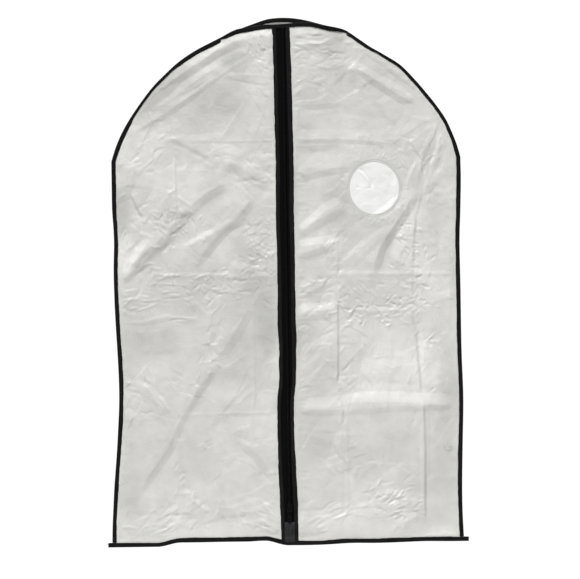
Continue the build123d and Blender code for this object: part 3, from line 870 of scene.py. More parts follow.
# ------------------------------------------------------------------ materials
def node_material(name, base, roughness, **sockets):
    """A Principled material, its node tree and its shader."""
    mat = bpy.data.materials.new(name)
    mat.use_nodes = True
    tree = mat.node_tree
    shader = tree.nodes["Principled BSDF"]
    shader.inputs["Base Color"].default_value = (*base, 1)
    shader.inputs["Roughness"].default_value = roughness
    for key, value in sockets.items():
        shader.inputs[key.replace("_", " ")].default_value = value
    return mat, tree, shader


def add(tree, kind, **settings):
    """A node with its settings; names in capitals go to input sockets."""
    made = tree.nodes.new(kind)
    for key, value in settings.items():
        if hasattr(made, key):
            setattr(made, key, value)
        else:
            made.inputs[key.replace("_", " ")].default_value = value
    return made


def object_coordinates(tree, scale=(1, 1, 1)):
    """Object coordinates, stretched."""
    source = add(tree, "ShaderNodeTexCoord")
    mapping = add(tree, "ShaderNodeMapping")
    mapping.inputs["Scale"].default_value = scale
    tree.links.new(source.outputs["Object"], mapping.inputs["Vector"])
    return mapping.outputs["Vector"]


def texture(tree, kind, where, **settings):
    """A texture node at the given coordinates."""
    made = add(tree, "ShaderNodeTex" + kind, **settings)
    tree.links.new(where, made.inputs["Vector"])
    return made


def combine(tree, operation, first, second):
    """Two values put through a math node."""
    made = add(tree, "ShaderNodeMath", operation=operation)
    tree.links.new(first, made.inputs[0])
    tree.links.new(second, made.inputs[1])
    return made.outputs[0]


def ramp_node(tree, source, stops, target=None):
    """A colour ramp, linked to a socket if one is given.

    Each stop is a position and a grey or a colour."""
    made = add(tree, "ShaderNodeValToRGB")
    elements = made.color_ramp.elements
    while len(elements) < len(stops):
        elements.new(0.5)
    for element, (position, colour) in zip(elements, stops):
        element.position = position
        element.color = (*colour, 1) if hasattr(colour, "__len__") else (colour,) * 3 + (1,)
    tree.links.new(source, made.inputs["Fac"])
    if target is not None:
        tree.links.new(made.outputs["Color"], target)
    return made.outputs["Color"]


def bump(tree, shader, height, distance, strength=1.0, below=None):
    """Bump from a height output, stacked on another bump if one is given."""
    made = add(tree, "ShaderNodeBump", Strength=strength, Distance=distance)
    tree.links.new(height, made.inputs["Height"])
    if below is not None:
        tree.links.new(below, made.inputs["Normal"])
    tree.links.new(made.outputs["Normal"], shader.inputs["Normal"])
    return made.outputs["Normal"]


# Where the front film's colour is raised (positive) or lowered (negative): partly where it stands
# milkier or clings to the back and looks greyer, partly painted shade and highlight along its
# folds.
# Patches: middle, half size across and up, share by which the colour changes. Streaks, painted
# shade
# and highlight along fold lines: line, share, half width.
CLING_AND_SHADE_PATCHES = [
    (-160, -136, 120, 66, -0.23), (-55, -520, 60, 150, -0.10), (-150, -470, 150, 60, -0.08),
    (-225, -750, 70, 110, -0.05), (-186, -286, 62, 50, 0.16), (-278, -420, 26, 50, 0.14),
    (184, -605, 90, 80, 0.20), (262, -490, 42, 70, 0.16), (200, -336, 46, 60, 0.20),
    (272, -770, 32, 120, -0.12), (-100, -886, 110, 24, 0.08), (110, -866, 110, 34, 0.07),
    (130, -112, 60, 34, -0.08), (84, -745, 60, 60, -0.06), (120, -250, 110, 30, 0.06),
    (-284, -335, 24, 48, -0.18), (-36, -535, 26, 62, -0.12), (-38, -655, 26, 18, 0.10),
    (-230, -560, 60, 44, -0.12), (90, -310, 36, 30, -0.07), (276, -630, 20, 52, -0.12),
    (60, -380, 44, 26, 0.08), (276, -260, 24, 60, 0.08), (236, -560, 22, 40, 0.12),
    (-84, -72, 36, 18, -0.26),
    (52, -460, 42, 14, 0.04), (-230, -645, 40, 34, 0.06), (150, -760, 60, 26, -0.05),
    (-90, -350, 56, 40, -0.09), (-276, -600, 26, 40, -0.08), (-110, -625, 50, 26, -0.07),
    (-276, -800, 24, 80, -0.09), (90, -704, 50, 16, -0.08), (236, -800, 34, 34, -0.07),
    (240, -862, 34, 24, -0.10), (268, -890, 26, 13, 0.10), (278, -400, 22, 60, 0.09),
    (-55, -210, 40, 40, -0.06),
    (-150, -735, 34, 52, -0.06), (-70, -600, 44, 34, -0.08), (30, -550, 24, 44, -0.07),
]
# painted shade and highlight laid along the fold bands
PAINTED_FOLD_SHADE_STREAKS = [
    ([(-92, -290), (-136, -314), (-170, -346), (-206, -386), (-246, -420), (-290, -462)],
     -0.19, 13),
    ([(-52, -306), (-96, -352), (-136, -400), (-160, -440)], -0.12, 13),
    ([(-66, -312), (-110, -350), (-150, -376), (-190, -398)], 0.10, 10),
    ([(-234, -376), (-262, -414), (-284, -440)], 0.14, 12),
    ([(-112, -592), (-180, -690), (-252, -812)], -0.10, 14),
    ([(236, -296), (212, -336), (180, -384), (156, -446)], -0.14, 13),
    ([(100, -318), (60, -338), (24, -372)], 0.10, 12),
    ([(112, -336), (70, -358), (24, -386)], -0.10, 10),
    ([(20, -396), (60, -390), (92, -382)], 0.09, 12),
    ([(18, -420), (60, -408), (84, -398)], -0.10, 10),
    ([(16, -504), (88, -498)], 0.12, 10), ([(16, -524), (80, -520)], -0.09, 9),
    ([(88, -486), (88, -560), (86, -640)], -0.12, 3.2),
    ([(214, -506), (226, -600), (232, -660)], -0.10, 4), ([(236, -660), (235, -880)], -0.12, 4),
    ([(14, -666), (150, -656), (292, -664)], 0.08, 16), ([(14, -686), (292, -680)], -0.08, 9),
    ([(-60, -66), (-150, -118), (-240, -176)], 0.10, 9),
]


def cling_and_painted_shade_field():
    """Share by which the front film's colour changes over the grid: cling tone, and painted shade
    and highlight along the folds.
    """
    field = np.zeros(GX.shape)
    for x, z, wide, tall, amount in CLING_AND_SHADE_PATCHES:
        away = np.hypot((GX - x) / wide, (GZ - z) / tall)
        field += amount * (1 - smooth((away - 0.3) / 0.9))
    for points, amount, half in PAINTED_FOLD_SHADE_STREAKS:
        stroke(field, points, amount, half, half, 0.12, 0.9)
    return field + clouds((0.022, 26, 50), (0.014, 8, 51))


# colour field of cling tone, and painted shade and highlight along the folds
CLING_AND_PAINTED_SHADE = cling_and_painted_shade_field()


def store_cling_and_painted_shade(obj):
    """Stores at each of a piece's points the share that scales the film's colour: cling tone, and
    painted shade and highlight.
    """
    points = np.array([v.co[:] for v in obj.data.vertices]) / MM
    layer = obj.data.attributes.new("cling_and_painted_shade_tone", "FLOAT", "POINT")
    values = 1 + sample(CLING_AND_PAINTED_SHADE, points[:, 0], points[:, 2])
    layer.data.foreach_set("value", values.astype(np.float32))


def film_material(name, base, roughness, alpha, crinkle, toned_by_cling_and_painted_shade=False):
    """Frosted film: milky, softly mottled, glossy on its wrinkles; when toned, its colour carries
    painted shade and highlight.
    """
    mat, tree, shader = node_material(name, base, roughness, Alpha=alpha, IOR=1.5)
    where = object_coordinates(tree)
    mottle = texture(tree, "Noise", where, Scale=14.0, Detail=4.0, Roughness=0.6)
    dull = tuple(c * 0.93 for c in base)
    bright = tuple(min(1.0, c * 1.05) for c in base)
    colour = ramp_node(tree, mottle.outputs["Fac"], [(0.3, dull), (0.7, bright)])
    # the base colour is scaled by the stored field of cling tone and painted shade and highlight
    if toned_by_cling_and_painted_shade:
        cling_and_painted_shade_tone = add(tree, "ShaderNodeAttribute", attribute_name="cling_and_painted_shade_tone")
        tint = add(tree, "ShaderNodeVectorMath", operation="SCALE")
        tree.links.new(colour, tint.inputs[0])
        tree.links.new(cling_and_painted_shade_tone.outputs["Fac"], tint.inputs["Scale"])
        colour = tint.outputs[0]
    tree.links.new(colour, shader.inputs["Base Color"])
    haze = texture(tree, "Noise", where, Scale=38.0, Detail=3.0)
    ramp_node(tree, haze.outputs["Fac"], [(0.3, roughness * 0.8), (0.7, min(1, roughness * 1.25))],
              shader.inputs["Roughness"])
    fine = texture(tree, "Noise", where, Scale=260.0, Detail=5.0, Roughness=0.65, Distortion=0.6)
    below = bump(tree, shader, fine.outputs["Fac"], 0.0007 * crinkle)
    grain = texture(tree, "Voronoi", where, Scale=1500.0)
    bump(tree, shader, grain.outputs["Distance"], 0.00006, below=below)
    mat.surface_render_method = "BLENDED"
    return mat


def non_woven_material(name, base, wear):
    """Spun-bonded tape: fibres, a grid of tiny weld points, and paler rubbed patches."""
    mat, tree, shader = node_material(name, base, 0.86, Sheen_Weight=0.02, Sheen_Roughness=0.5,
                                      Specular_IOR_Level=0.10)
    where = object_coordinates(tree)
    fibre = texture(tree, "Noise", where, Scale=900.0, Detail=6.0, Roughness=0.7, Distortion=1.5)
    patches = texture(tree, "Noise", where, Scale=60.0, Detail=4.0)
    mix = combine(tree, "MULTIPLY", fibre.outputs["Fac"], patches.outputs["Fac"])
    pale = tuple(c * wear for c in base)
    ramp_node(tree, mix, [(0.12, base), (0.42, pale)], shader.inputs["Base Color"])
    below = bump(tree, shader, fibre.outputs["Fac"], 0.00025)
    dots = texture(tree, "Voronoi", where, Scale=850.0, Randomness=0.15)
    bump(tree, shader, dots.outputs["Distance"], 0.00022, below=below)
    return mat


def woven_material(name, base, pitch_mm, twist=1.0):
    """Woven tape or thread: two crossing waves, painted darker in their hollows and lighter on
    their crests, with a little variation.
    """
    mat, tree, shader = node_material(name, base, 0.75, Specular_IOR_Level=0.05)
    turns = 1000.0 / pitch_mm / 3.15
    height = None
    for stretch in ((turns, 0, turns * 0.5 * twist), (-turns * 0.35, 0, turns)):
        wave = texture(tree, "Wave", object_coordinates(tree, stretch), Scale=1.0, Distortion=0.4,
                       Detail=1.0, Detail_Scale=2.0, bands_direction="DIAGONAL").outputs["Fac"]
        height = wave if height is None else combine(tree, "MAXIMUM", height, wave)
    # painted shade in the weave's hollows and painted highlight on its crests
    dark = tuple(c * 0.55 for c in base)
    light = tuple(min(1, c * 1.7) for c in base)
    ramp_node(tree, height, [(0.2, dark), (0.9, light)], shader.inputs["Base Color"])
    bump(tree, shader, height, 0.0002)
    return mat


def coil_material():
    """Black nylon monofilament, faintly glossy, a little dusty."""
    mat, tree, shader = node_material("nylon_coil", (0.002, 0.002, 0.002), 0.5, IOR=1.45,
                                      Specular_IOR_Level=0.1)
    dust = texture(tree, "Noise", object_coordinates(tree), Scale=420.0, Detail=3.0).outputs["Fac"]
    ramp_node(tree, dust, [(0.35, 0.42), (0.7, 0.62)], shader.inputs["Roughness"])
    ramp_node(tree, dust, [(0.4, 0.0012), (0.75, 0.0035)], shader.inputs["Base Color"])
    bump(tree, shader, dust, 0.00005)
    return mat


def lacquer_material():
    """Black lacquered zinc with rubbed edges."""
    mat, tree, shader = node_material("black_lacquer", (0.003, 0.003, 0.003), 0.45,
                                      Specular_IOR_Level=0.12)
    edge = add(tree, "ShaderNodeNewGeometry").outputs["Pointiness"]
    scratch = texture(tree, "Noise", object_coordinates(tree), Scale=500.0, Detail=6.0,
                      Roughness=0.75).outputs["Fac"]
    rubbed = combine(tree, "MULTIPLY", edge, scratch)
    ramp_node(tree, rubbed, [(0.32, 0.0022), (0.42, (0.016, 0.0155, 0.015))],
              shader.inputs["Base Color"])
    ramp_node(tree, scratch, [(0.35, 0.36), (0.7, 0.55)], shader.inputs["Roughness"])
    bump(tree, shader, scratch, 0.00004)
    return mat


FILM = film_material("frosted_film", (0.692, 0.687, 0.661), 0.38, 0.84, 1.0, toned_by_cling_and_painted_shade=True)
BACK_FILM = film_material("frosted_back_film", (0.70, 0.695, 0.668), 0.38, 0.84, 1.0)
CLEAR = film_material("clear_film", (0.955, 0.955, 0.935), 0.18, 0.86, 0.8)
WELD = film_material("weld_band", (0.68, 0.68, 0.655), 0.36, 0.84, 1.0)
BINDING = non_woven_material("black_non_woven", (0.0045, 0.0045, 0.0045), 2.2)
ZIP_BINDING = non_woven_material("grey_black_non_woven", (0.0048, 0.0048, 0.0048), 2.4)
TAB_CLOTH = non_woven_material("grey_tab_non_woven", (0.018, 0.018, 0.019), 2.4)
TAPE = woven_material("zip_tape_weave", (0.0016, 0.0016, 0.0016), 0.9)
THREAD = woven_material("polyester_thread", (0.010, 0.010, 0.010), 0.5, twist=2.0)
COIL = coil_material()
LACQUER = lacquer_material()


def dress(obj, material):
    """Gives a new piece its material."""
    obj.data.materials.clear()
    obj.data.materials.append(material)
    return obj


# ---------------------------------------------------------------- film panels
FRONT_GRID = (230, 520)     # columns and rows of a front panel's mesh
BACK_GRID = (220, 330)


def make_front_panel(side):
    """One front panel, cut into three pieces along its ramps."""
    name = "right" if side > 0 else "left"
    count, rows = FRONT_GRID
    columns = side * np.linspace(ZIP_FILM_EDGE, HALF_WIDTH - FILM_MARGIN, count)
    x, z = pattern_grid(columns, rows, front_top)
    faces = grid_faces(rows, count)
    if side > 0:
        faces = cut_window(x, z, faces)
    else:
        faces = [f[::-1] for f in faces]
    points, faces = cut_flat(x, z, faces, ramp_lines(side))
    centres = np.array([points[f].mean(axis=0) for f in faces])
    nearest = np.argmin(ramps(centres[:, 0], centres[:, 1], side), axis=0)
    made = []
    for index, ramp in enumerate(("shoulder", "hem", "seam")):
        part, part_faces = subset(points, faces, np.flatnonzero(nearest == index))
        surface, normals = film_surface(front_height, -1, part[:, 0], part[:, 1])
        obj = new_object(f"front_film_{name}_{ramp}", surface, part_faces, normals)
        store_cling_and_painted_shade(obj)
        dress(obj, FILM)
        flap_blend(obj, ramp)
        made.append(obj)
    return made


def cut_window(x, z, faces):
    """Snaps points near the window's edge onto its circle and drops the faces inside."""
    dx, dz = x - WINDOW_X, z - WINDOW_Z
    r = from_window(x, z)
    near = np.abs(r - WINDOW_RADIUS) < 1.0
    x[near] = WINDOW_X + dx[near] / r[near] * WINDOW_RADIUS
    z[near] = WINDOW_Z + dz[near] / r[near] * WINDOW_RADIUS
    centre = np.array([(x[list(f)].mean(), z[list(f)].mean()) for f in faces])
    keep = from_window(centre[:, 0], centre[:, 1]) > WINDOW_RADIUS - 0.05
    return [f for f, k in zip(faces, keep) if k]


def make_back_panel():
    """The back panel, one sheet from hem to neck."""
    count, rows = BACK_GRID
    columns = np.linspace(-HALF_WIDTH + FILM_MARGIN, HALF_WIDTH - FILM_MARGIN, count)
    x, z = pattern_grid(columns, rows, back_top)
    faces = [f[::-1] for f in grid_faces(rows, count)]
    surface, normals = film_surface(back_height, 1, x, z)
    obj = dress(new_object("back_film", surface, faces, normals), BACK_FILM)
    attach(obj, "root")
    return obj


DISC_GRID = (34, 180)       # rings, and points round them
DISC_OVERLAP = 4.0          # of the disc behind the film
DISC_BEHIND = 0.12
# section of the weld band: distance outside the window's edge, and height above the film
WELD_PROFILE = [(-1.3, 0.0), (-0.9, 0.21), (0.0, 0.25), (0.8, 0.23), (1.4, 0.03), (2.0, 0.05),
                (2.5, 0.27), (3.1, 0.29), (3.7, 0.15), (4.2, 0.0)]


def window_rings(radii):
    """Points on rings round the window's middle, in the shape of the hanging hole."""
    angles = np.linspace(0, 2 * math.pi, DISC_GRID[1], endpoint=False)
    return [(middle + stretch * radii[:, None] * way(angles)[None, :]).ravel()
            for middle, stretch, way in ((WINDOW_X, WINDOW_STRETCH[0], np.cos),
                                         (WINDOW_Z, WINDOW_STRETCH[1], np.sin))]


def make_window():
    """The clear disc, welded behind the hole, and its weld band."""
    rings, around = DISC_GRID
    x, z = window_rings(np.linspace(0.02, WINDOW_RADIUS + DISC_OVERLAP, rings))
    surface, normals = film_surface(front_height + window_relief(), -1, x, z, lift=-DISC_BEHIND)
    disc = new_object("window_clear_disc", surface, grid_faces(rings, around, closed=True), normals)
    dress(disc, CLEAR)
    flap_blend(disc, "shoulder")
    offsets, heights = np.array(WELD_PROFILE).T
    x, z = window_rings(WINDOW_RADIUS + offsets)
    surface, _ = film_surface(front_height, -1, x, z, lift=np.repeat(heights, around))
    faces = grid_faces(len(WELD_PROFILE), around, closed=True)
    weld = new_object("window_weld_band", surface, faces, facing=(0, -1, 0))
    dress(weld, WELD)
    flap_blend(weld, "shoulder")
    return disc, weld


def window_relief():
    """The clear disc's own creases, besides those of the film it is welded to."""
    field = np.zeros(GX.shape)
    band(field, [(124, -262), (136, -272), (144, -284), (149, -300)], 6.0, 1.6, 0.2, 2.0)
    band(field, [(121, -296), (129, -299)], 5.0, 1.8, 0.3, 2.0)
    band(field, [(128, -306), (146, -298), (160, -302), (176, -314)], 2.0, 1.8, 0.2, 2.0)
    stroke(field, [(144, -318), (158, -310), (166, -312)], -0.3, 7, 7, 0.4)
    inside = smooth((WINDOW_RADIUS - from_window(GX, GZ)) / 6)
    band(field, [(122, -330), (140, -322), (152, -326)], 1.8, 2.4, 0.3, 2.0)
    band(field, [(166, -268), (178, -280), (184, -298)], 1.6, 2.4, 0.3, 2.0)
    return (field + clouds((0.20, 12, 40))) * inside


front_left = make_front_panel(-1)
front_right = make_front_panel(1)
back_film = make_back_panel()
window_disc, window_band = make_window()


# -------------------------------------------------------------------- bindings
def resample(points, step):
    """Evenly spaced points along a polyline."""
    lengths = np.concatenate([[0], np.cumsum(np.linalg.norm(np.diff(points, axis=0), axis=1))])
    count = max(2, int(round(lengths[-1] / step)) + 1)
    at = np.linspace(0, lengths[-1], count)
    return np.stack([np.interp(at, lengths, points[:, i]) for i in range(points.shape[1])], axis=1)


def directions(points):
    """Unit directions along a polyline."""
    d = np.gradient(points, axis=0)
    return d / np.linalg.norm(d, axis=1)[:, None]


def edge_path():
    """The outer edge of the side and shoulder seams, from one hem corner over to the other."""
    x = HALF_WIDTH * np.sin(np.linspace(-math.pi / 2, math.pi / 2, 900))
    arc = np.stack([x, back_top(x)], axis=1)
    foot = hem_high[2] + 1
    side = np.linspace(foot, arc[0, 1], 300)[:-1]
    left, right = (np.stack([np.full(len(side), x), z], axis=1)
                   for x, z in ((-HALF_WIDTH, side), (HALF_WIDTH, side[::-1])))
    path = resample(np.concatenate([left, arc, right]), SEAM_STEP)
    return np.stack(warp(path[:, 0], path[:, 1]), axis=1)


def wobble(count, step, scale, seed):
    """Seeded smooth noise along a path, with a standard deviation of 1."""
    rng = np.random.default_rng(seed)
    kernel = np.exp(-0.5 * (np.arange(-4 * scale, 4 * scale + step, step) / scale) ** 2)
    noise = np.convolve(rng.standard_normal(count + len(kernel)), kernel, "same")[:count]
    return noise / noise.std()


SEAM_STEP = 1.5             # between the points of a seam's path
PROFILE_WIDTH = 7.5         # of the section below
FOLDED_PROFILE = [
    # inset from the fold, share of the half thickness
    (7.4, -0.35), (7.5, -0.62), (7.1, -0.9), (6.2, -0.95), (5.2, -0.78), (4.2, -0.96),
    (2.8, -1.0), (1.3, -0.96), (0.45, -0.7), (0.0, 0.0), (0.45, 0.7), (1.3, 0.96),
    (2.8, 1.0), (4.2, 0.96), (5.2, 0.78), (6.2, 0.95), (7.1, 0.9), (7.5, 0.62), (7.4, 0.35),
]


def folded_tape(name, path, inward, middle_y, half, seed, spread=1.0):
    """A tape folded over an edge, swept along a path, with puckers between its stitches.

    The spread is the share of its full width that lies flat in the seam plane."""
    count = len(path)
    scale = BINDING_WIDTH / PROFILE_WIDTH * spread
    slow, quick, bulge = (wobble(count, SEAM_STEP, lump, seed + index) * size
                          for index, (lump, size) in enumerate(((14, 0.28), (3, 0.14), (5, 0.16))))
    pinch = 0.5 + 0.5 * np.cos(2 * math.pi * np.arange(count) * SEAM_STEP / STITCH_PITCH)
    middle = np.broadcast_to(np.asarray(middle_y, float), count)
    rows = []
    for a, b in FOLDED_PROFILE:
        depth = a * scale + (slow + quick) * smooth((a - 3) / 4)
        puff = half * (1 + bulge) * b * (1.6 - 0.6 * spread)
        if 4 < a < 6.5:
            puff = puff * (1 - 0.22 * pinch)
        point = path + inward * depth[:, None]
        rows.append(np.stack([point[:, 0], middle + puff, point[:, 1]], axis=1))
    return sweep(name, rows)


STITCH_PITCH = 3.6
STITCH_LENGTH = 2.7
STITCH_RADIUS = 0.27
STITCH_SIDES = 6
# a stitch's shape: place along it, share of the radius, height above the cloth
STITCH_STATIONS = [(-0.5, 0.35, -0.30), (-0.36, 0.9, 0.02), (0.0, 1.0, 0.12), (0.36, 0.9, 0.02),
                   (0.5, 0.35, -0.30)]


def stitch_row(name, points, along, out, pitch=STITCH_PITCH):
    """Separate thread stitches at points, each a small bead that dips into the cloth."""
    angles = np.arange(STITCH_SIDES) * 2 * math.pi / STITCH_SIDES
    first_cap = tuple(range(STITCH_SIDES))
    last_cap = tuple(i + STITCH_SIDES * (len(STITCH_STATIONS) - 1) for i in first_cap)[::-1]
    bead = grid_faces(len(STITCH_STATIONS), STITCH_SIDES, closed=True) + [first_cap, last_cap]
    vertices, faces = [], []
    for p, a, n in zip(points, along, out):
        sideways = np.cross(a, n)
        base = len(vertices)
        for t, share, rise in STITCH_STATIONS:
            centre = p + a * t * STITCH_LENGTH * pitch / STITCH_PITCH + n * rise
            radius = STITCH_RADIUS * share
            vertices += [centre + (sideways * math.cos(u) + n * math.sin(u)) * radius
                         for u in angles]
        faces += [tuple(base + i for i in f) for f in bead]
    return new_object(name, np.array(vertices), faces)


def seam_stitches(name, path, inward, middle_y, half, depth):
    """Stitches on both faces of a folded tape."""
    middle = np.broadcast_to(np.asarray(middle_y, float), len(path))
    line = np.concatenate([path + inward * depth, middle[:, None]], axis=1)
    x, z, y = resample(line, STITCH_PITCH).T
    way = directions(np.stack([x, z], axis=1))
    along = np.stack([way[:, 0], np.zeros(len(x)), way[:, 1]], axis=1)
    points = [np.stack([x, y + face * half * 0.82, z], axis=1) for face in (-1, 1)]
    outs = [np.tile((0.0, face, 0.0), (len(x), 1)) for face in (-1, 1)]
    return stitch_row(name, *(np.concatenate(v) for v in (points, [along, along], outs)))


def across(path):
    """Inward directions in the plane of a seam, to the right of travel."""
    d = directions(path)
    return np.stack([d[:, 1], -d[:, 0]], axis=1)


def edge_spread(path):
    """Share of the edge tape's width that faces the front: less where a shoulder rolls over."""
    x, on_shoulder = path[:, 0], smooth((path[:, 1] + 235) / 30)
    left = 0.28 * smooth((-183 - x) / 12) * smooth((x + 276) / 14)
    right = 0.30 * smooth((x - 114) / 12) * (1 - smooth((x - 160) / 12))
    right = right + 0.20 * smooth((x - 155) / 12)
    right = right + 0.10 * smooth((x - 60) / 12) * (1 - smooth((x - 112) / 12))
    return 1 - on_shoulder * (left + right)


def bind(name, node, path, inward, middle_y, half, seed, spread, depth):
    """Folds a tape over an edge and sews it on; both stand for their CAD nodes."""
    tape = folded_tape(f"{name}_tape", path, inward, middle_y, half, seed, spread)
    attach(dress(tape, BINDING), "root")
    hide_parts(f"{node}_binding")
    stitches = seam_stitches(f"{name}_stitches", path, inward, middle_y, half, depth)
    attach(dress(stitches, THREAD), "root")
    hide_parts(f"{node}_thread")
    return tape


SEAM_DEPTH = 5.2            # of the stitches, from the fold
EDGE_HALF, HEM_HALF, NECK_HALF = 1.35, 1.6, 1.1     # half thickness of each folded tape
HEM_LEFT_TUCK = -5.0        # how far the hem tape's left end is drawn outwards
NECK_STANDOFF = 2.4         # where the neck tape leaves the shoulder seam, forward of it

edge = edge_path()
spread = edge_spread(edge)
edge_tape = bind("edge", "edge", edge, across(edge), SEAM_Y, EDGE_HALF, 5, spread,
                 SEAM_DEPTH * spread[:, None])

# hem: one straight tape that overruns both side seams
hem_x = np.linspace(hem_low[0], hem_high[0], 412)
drawn = np.where(hem_x < 0, HEM_LEFT_TUCK, 0.0) * np.abs(hem_x) / HALF_WIDTH
hem = np.stack([hem_x + drawn, FLOOR + drift("hem", hem_x)], axis=1)
hem_y = SEAM_Y - hem_forward(hem[:, 0], hem[:, 1])
spread = 1.03 + 0.06 * bell(hem[:, 0], -60, 60)
hem_tape = bind("hem", "bottom", hem, -across(hem), hem_y, HEM_HALF, 9, spread, SEAM_DEPTH)

# front neck edge: leaves the shoulder seam, comes forward with the film and goes back
neck_x = np.linspace(-NECK_OPENING, NECK_OPENING, 150)
neck = np.stack(warp(neck_x, front_top(neck_x)), axis=1)
from_end = NECK_OPENING - np.abs(neck_x)
neck_y = (SEAM_Y - NECK_STANDOFF * smooth(from_end / 14)
          - (FRONT_DEPTH - NECK_STANDOFF) * smooth(from_end / 50))
spread = 0.55 + 0.45 * smooth(from_end / 30)
bind("neck", "neck", neck, across(neck), neck_y, NECK_HALF, 13, spread,
     SEAM_DEPTH * spread[:, None])


# ------------------------------------------------------------------ zip strips
HALVES = (("upper", ZIP_SPLIT, ZIP_TOP, "shoulder"), ("lower", ZIP_BOTTOM, ZIP_SPLIT, "hem"))
TUCK = 5.0                  # how far the strips run up behind the neck tape
FILM_END = -870.0           # height above which the film stands clear of the hem
COIL_DRIFT = 0.08           # share of the zip's wandering that its coil follows
FOOT = -904.5               # lower end of the folded tapes beside the zip, at the hem tape


def foot_bend(side, z):
    """How far a strip beside the zip bends back where the film runs into the hem."""
    at = np.full(len(z), side * 12.0)
    above = sample(front_height, at, np.full(len(z), FILM_END))
    return np.maximum(above - sample(front_height, at, z), 0) * smooth((FILM_END - 2 - z) / 6)


def strip_piece(name, side, low, high, profile, seed, edge_wobble, step=1.4):
    """An upright strip: a closed profile of (x, y) swept up beside the zip."""
    if high == ZIP_TOP:
        high += TUCK
    if low == ZIP_BOTTOM and profile is not TAPE_PROFILE:
        low = FOOT
    count = int((high - low) / step) + 1
    z = np.linspace(low, high, count)
    rng_count = int((ZIP_TOP - ZIP_BOTTOM) / step) + 40
    slow = wobble(rng_count, step, 9, seed)
    quick = wobble(rng_count, step, 2.5, seed + 1)
    at = np.clip((z - FOOT) / step, 0, rng_count - 1.001)
    slow, quick = (np.interp(at, np.arange(rng_count), noise) for noise in (slow, quick))
    rows = []
    for x, y, outer in profile:
        dx = ((slow * 0.30 + quick * 0.16) * edge_wobble + drift("zip_width", z)) * outer
        dy = (slow * 0.16 + quick * 0.10) * edge_wobble * (0.4 + 0.6 * outer)
        stray = drift("zip", z) * (1 - (1 - COIL_DRIFT) * (1 - smooth((x - 4) / 4)))
        rows.append(np.stack([side * (x + dx) + stray, y + dy + foot_bend(side, z), z], axis=1))
    return sweep(name, rows, flip=side > 0)


def binding_profile():
    """Section of the folded tape on the film's edge beside the zip."""
    (x0, y0), (x1, y1) = strip_low[:2], strip_high[:2]
    mid = (y0 + y1) / 2
    return [(x0, mid, 0), (x0 + 0.25, y0 + 0.3, 0), (x0 + 0.9, y0, 0), (x0 + 2.6, y0 - 0.05, 0.2),
            (x0 + 3.6, y0 + 0.12, 0.4), (x0 + 4.6, y0 - 0.02, 0.7), (x1 - 0.3, y0 + 0.1, 1),
            (x1, y0 + 0.4, 1), (x1 - 0.4, mid, 1), (x1, y1 - 0.35, 1), (x1 - 0.4, y1, 1),
            (x0 + 3.0, y1, 0.3), (x0 + 0.4, y1 - 0.1, 0)]


def tape_profile():
    """Section of the woven zip tape, with a slight groove beside the coil."""
    (x0, y0), (x1, y1) = tape_low[:2], tape_high[:2]
    return [(x0, (y0 + y1) / 2, 0), (x0 + 0.2, y0, 0), (4.0, y0, 0), (4.6, y0 + 0.08, 0),
            (5.2, y0, 0), (x1 - 0.3, y0, 0.4), (x1, (y0 + y1) / 2, 0.4), (x1 - 0.3, y1, 0.4),
            (x0 + 0.2, y1, 0)]


TAPE_PROFILE = tape_profile()
COIL_PITCH = 1.34
WIRE_RADIUS = 0.36
POINTS_PER_TURN = 12
WIRE_SIDES = 5
COIL_HEAD = -0.62           # how far the heads of the loops reach past the zip's middle


def coil_piece(name, side, low, high):
    """Half of the coil: a monofilament wound in flat loops whose heads meet the other half."""
    if high == ZIP_TOP:
        high += TUCK
    turns = int((high - low) / COIL_PITCH)
    phase = np.arange(turns * POINTS_PER_TURN + 1) / POINTS_PER_TURN
    start = low + (COIL_PITCH / 2 if side < 0 else 0)
    angle = 2 * math.pi * phase
    root = coil_high[0] - WIRE_RADIUS
    middle, half = (COIL_HEAD + root) / 2, (root - COIL_HEAD) / 2
    depth = (coil_high[1] - coil_low[1]) / 2 - WIRE_RADIUS
    head = np.clip(-np.cos(angle), 0, 1) ** 3
    z = start + phase * COIL_PITCH
    x = side * (middle + half * np.cos(angle)) + COIL_DRIFT * drift("zip", z)
    y = (coil_low[1] + coil_high[1]) / 2 - depth * np.sin(angle)
    path = np.stack([x, y, z], axis=1)
    d = directions(path)
    first = np.cross(d, (0, 0, 1.0))
    first /= np.linalg.norm(first, axis=1)[:, None]
    second = np.cross(d, first)
    thickness = (WIRE_RADIUS * (1 + 0.25 * head))[:, None]
    turns_round = np.arange(WIRE_SIDES) * 2 * math.pi / WIRE_SIDES
    return sweep(name, [path + (first * math.cos(a) + second * math.sin(a)) * thickness
                        for a in turns_round])


def zip_stitches(name, side, low, high):
    """The row of stitches through binding, film and tape."""
    z = np.arange(low + 1.8, high - 1, STITCH_PITCH)
    count = len(z)
    x = side * (strip_low[0] + 3.7) + drift("zip", z)
    front = np.stack([x, np.full(count, strip_low[1] + 0.1), z], axis=1)
    back = np.stack([x, np.full(count, tape_high[1] + 0.05), z], axis=1)
    up = np.tile((0.0, 0.0, 1.0), (count, 1))
    out = np.tile((0.0, -1.0, 0.0), (count, 1))
    return stitch_row(name, np.concatenate([front, back]), np.concatenate([up, up]),
                      np.concatenate([out, -out]))


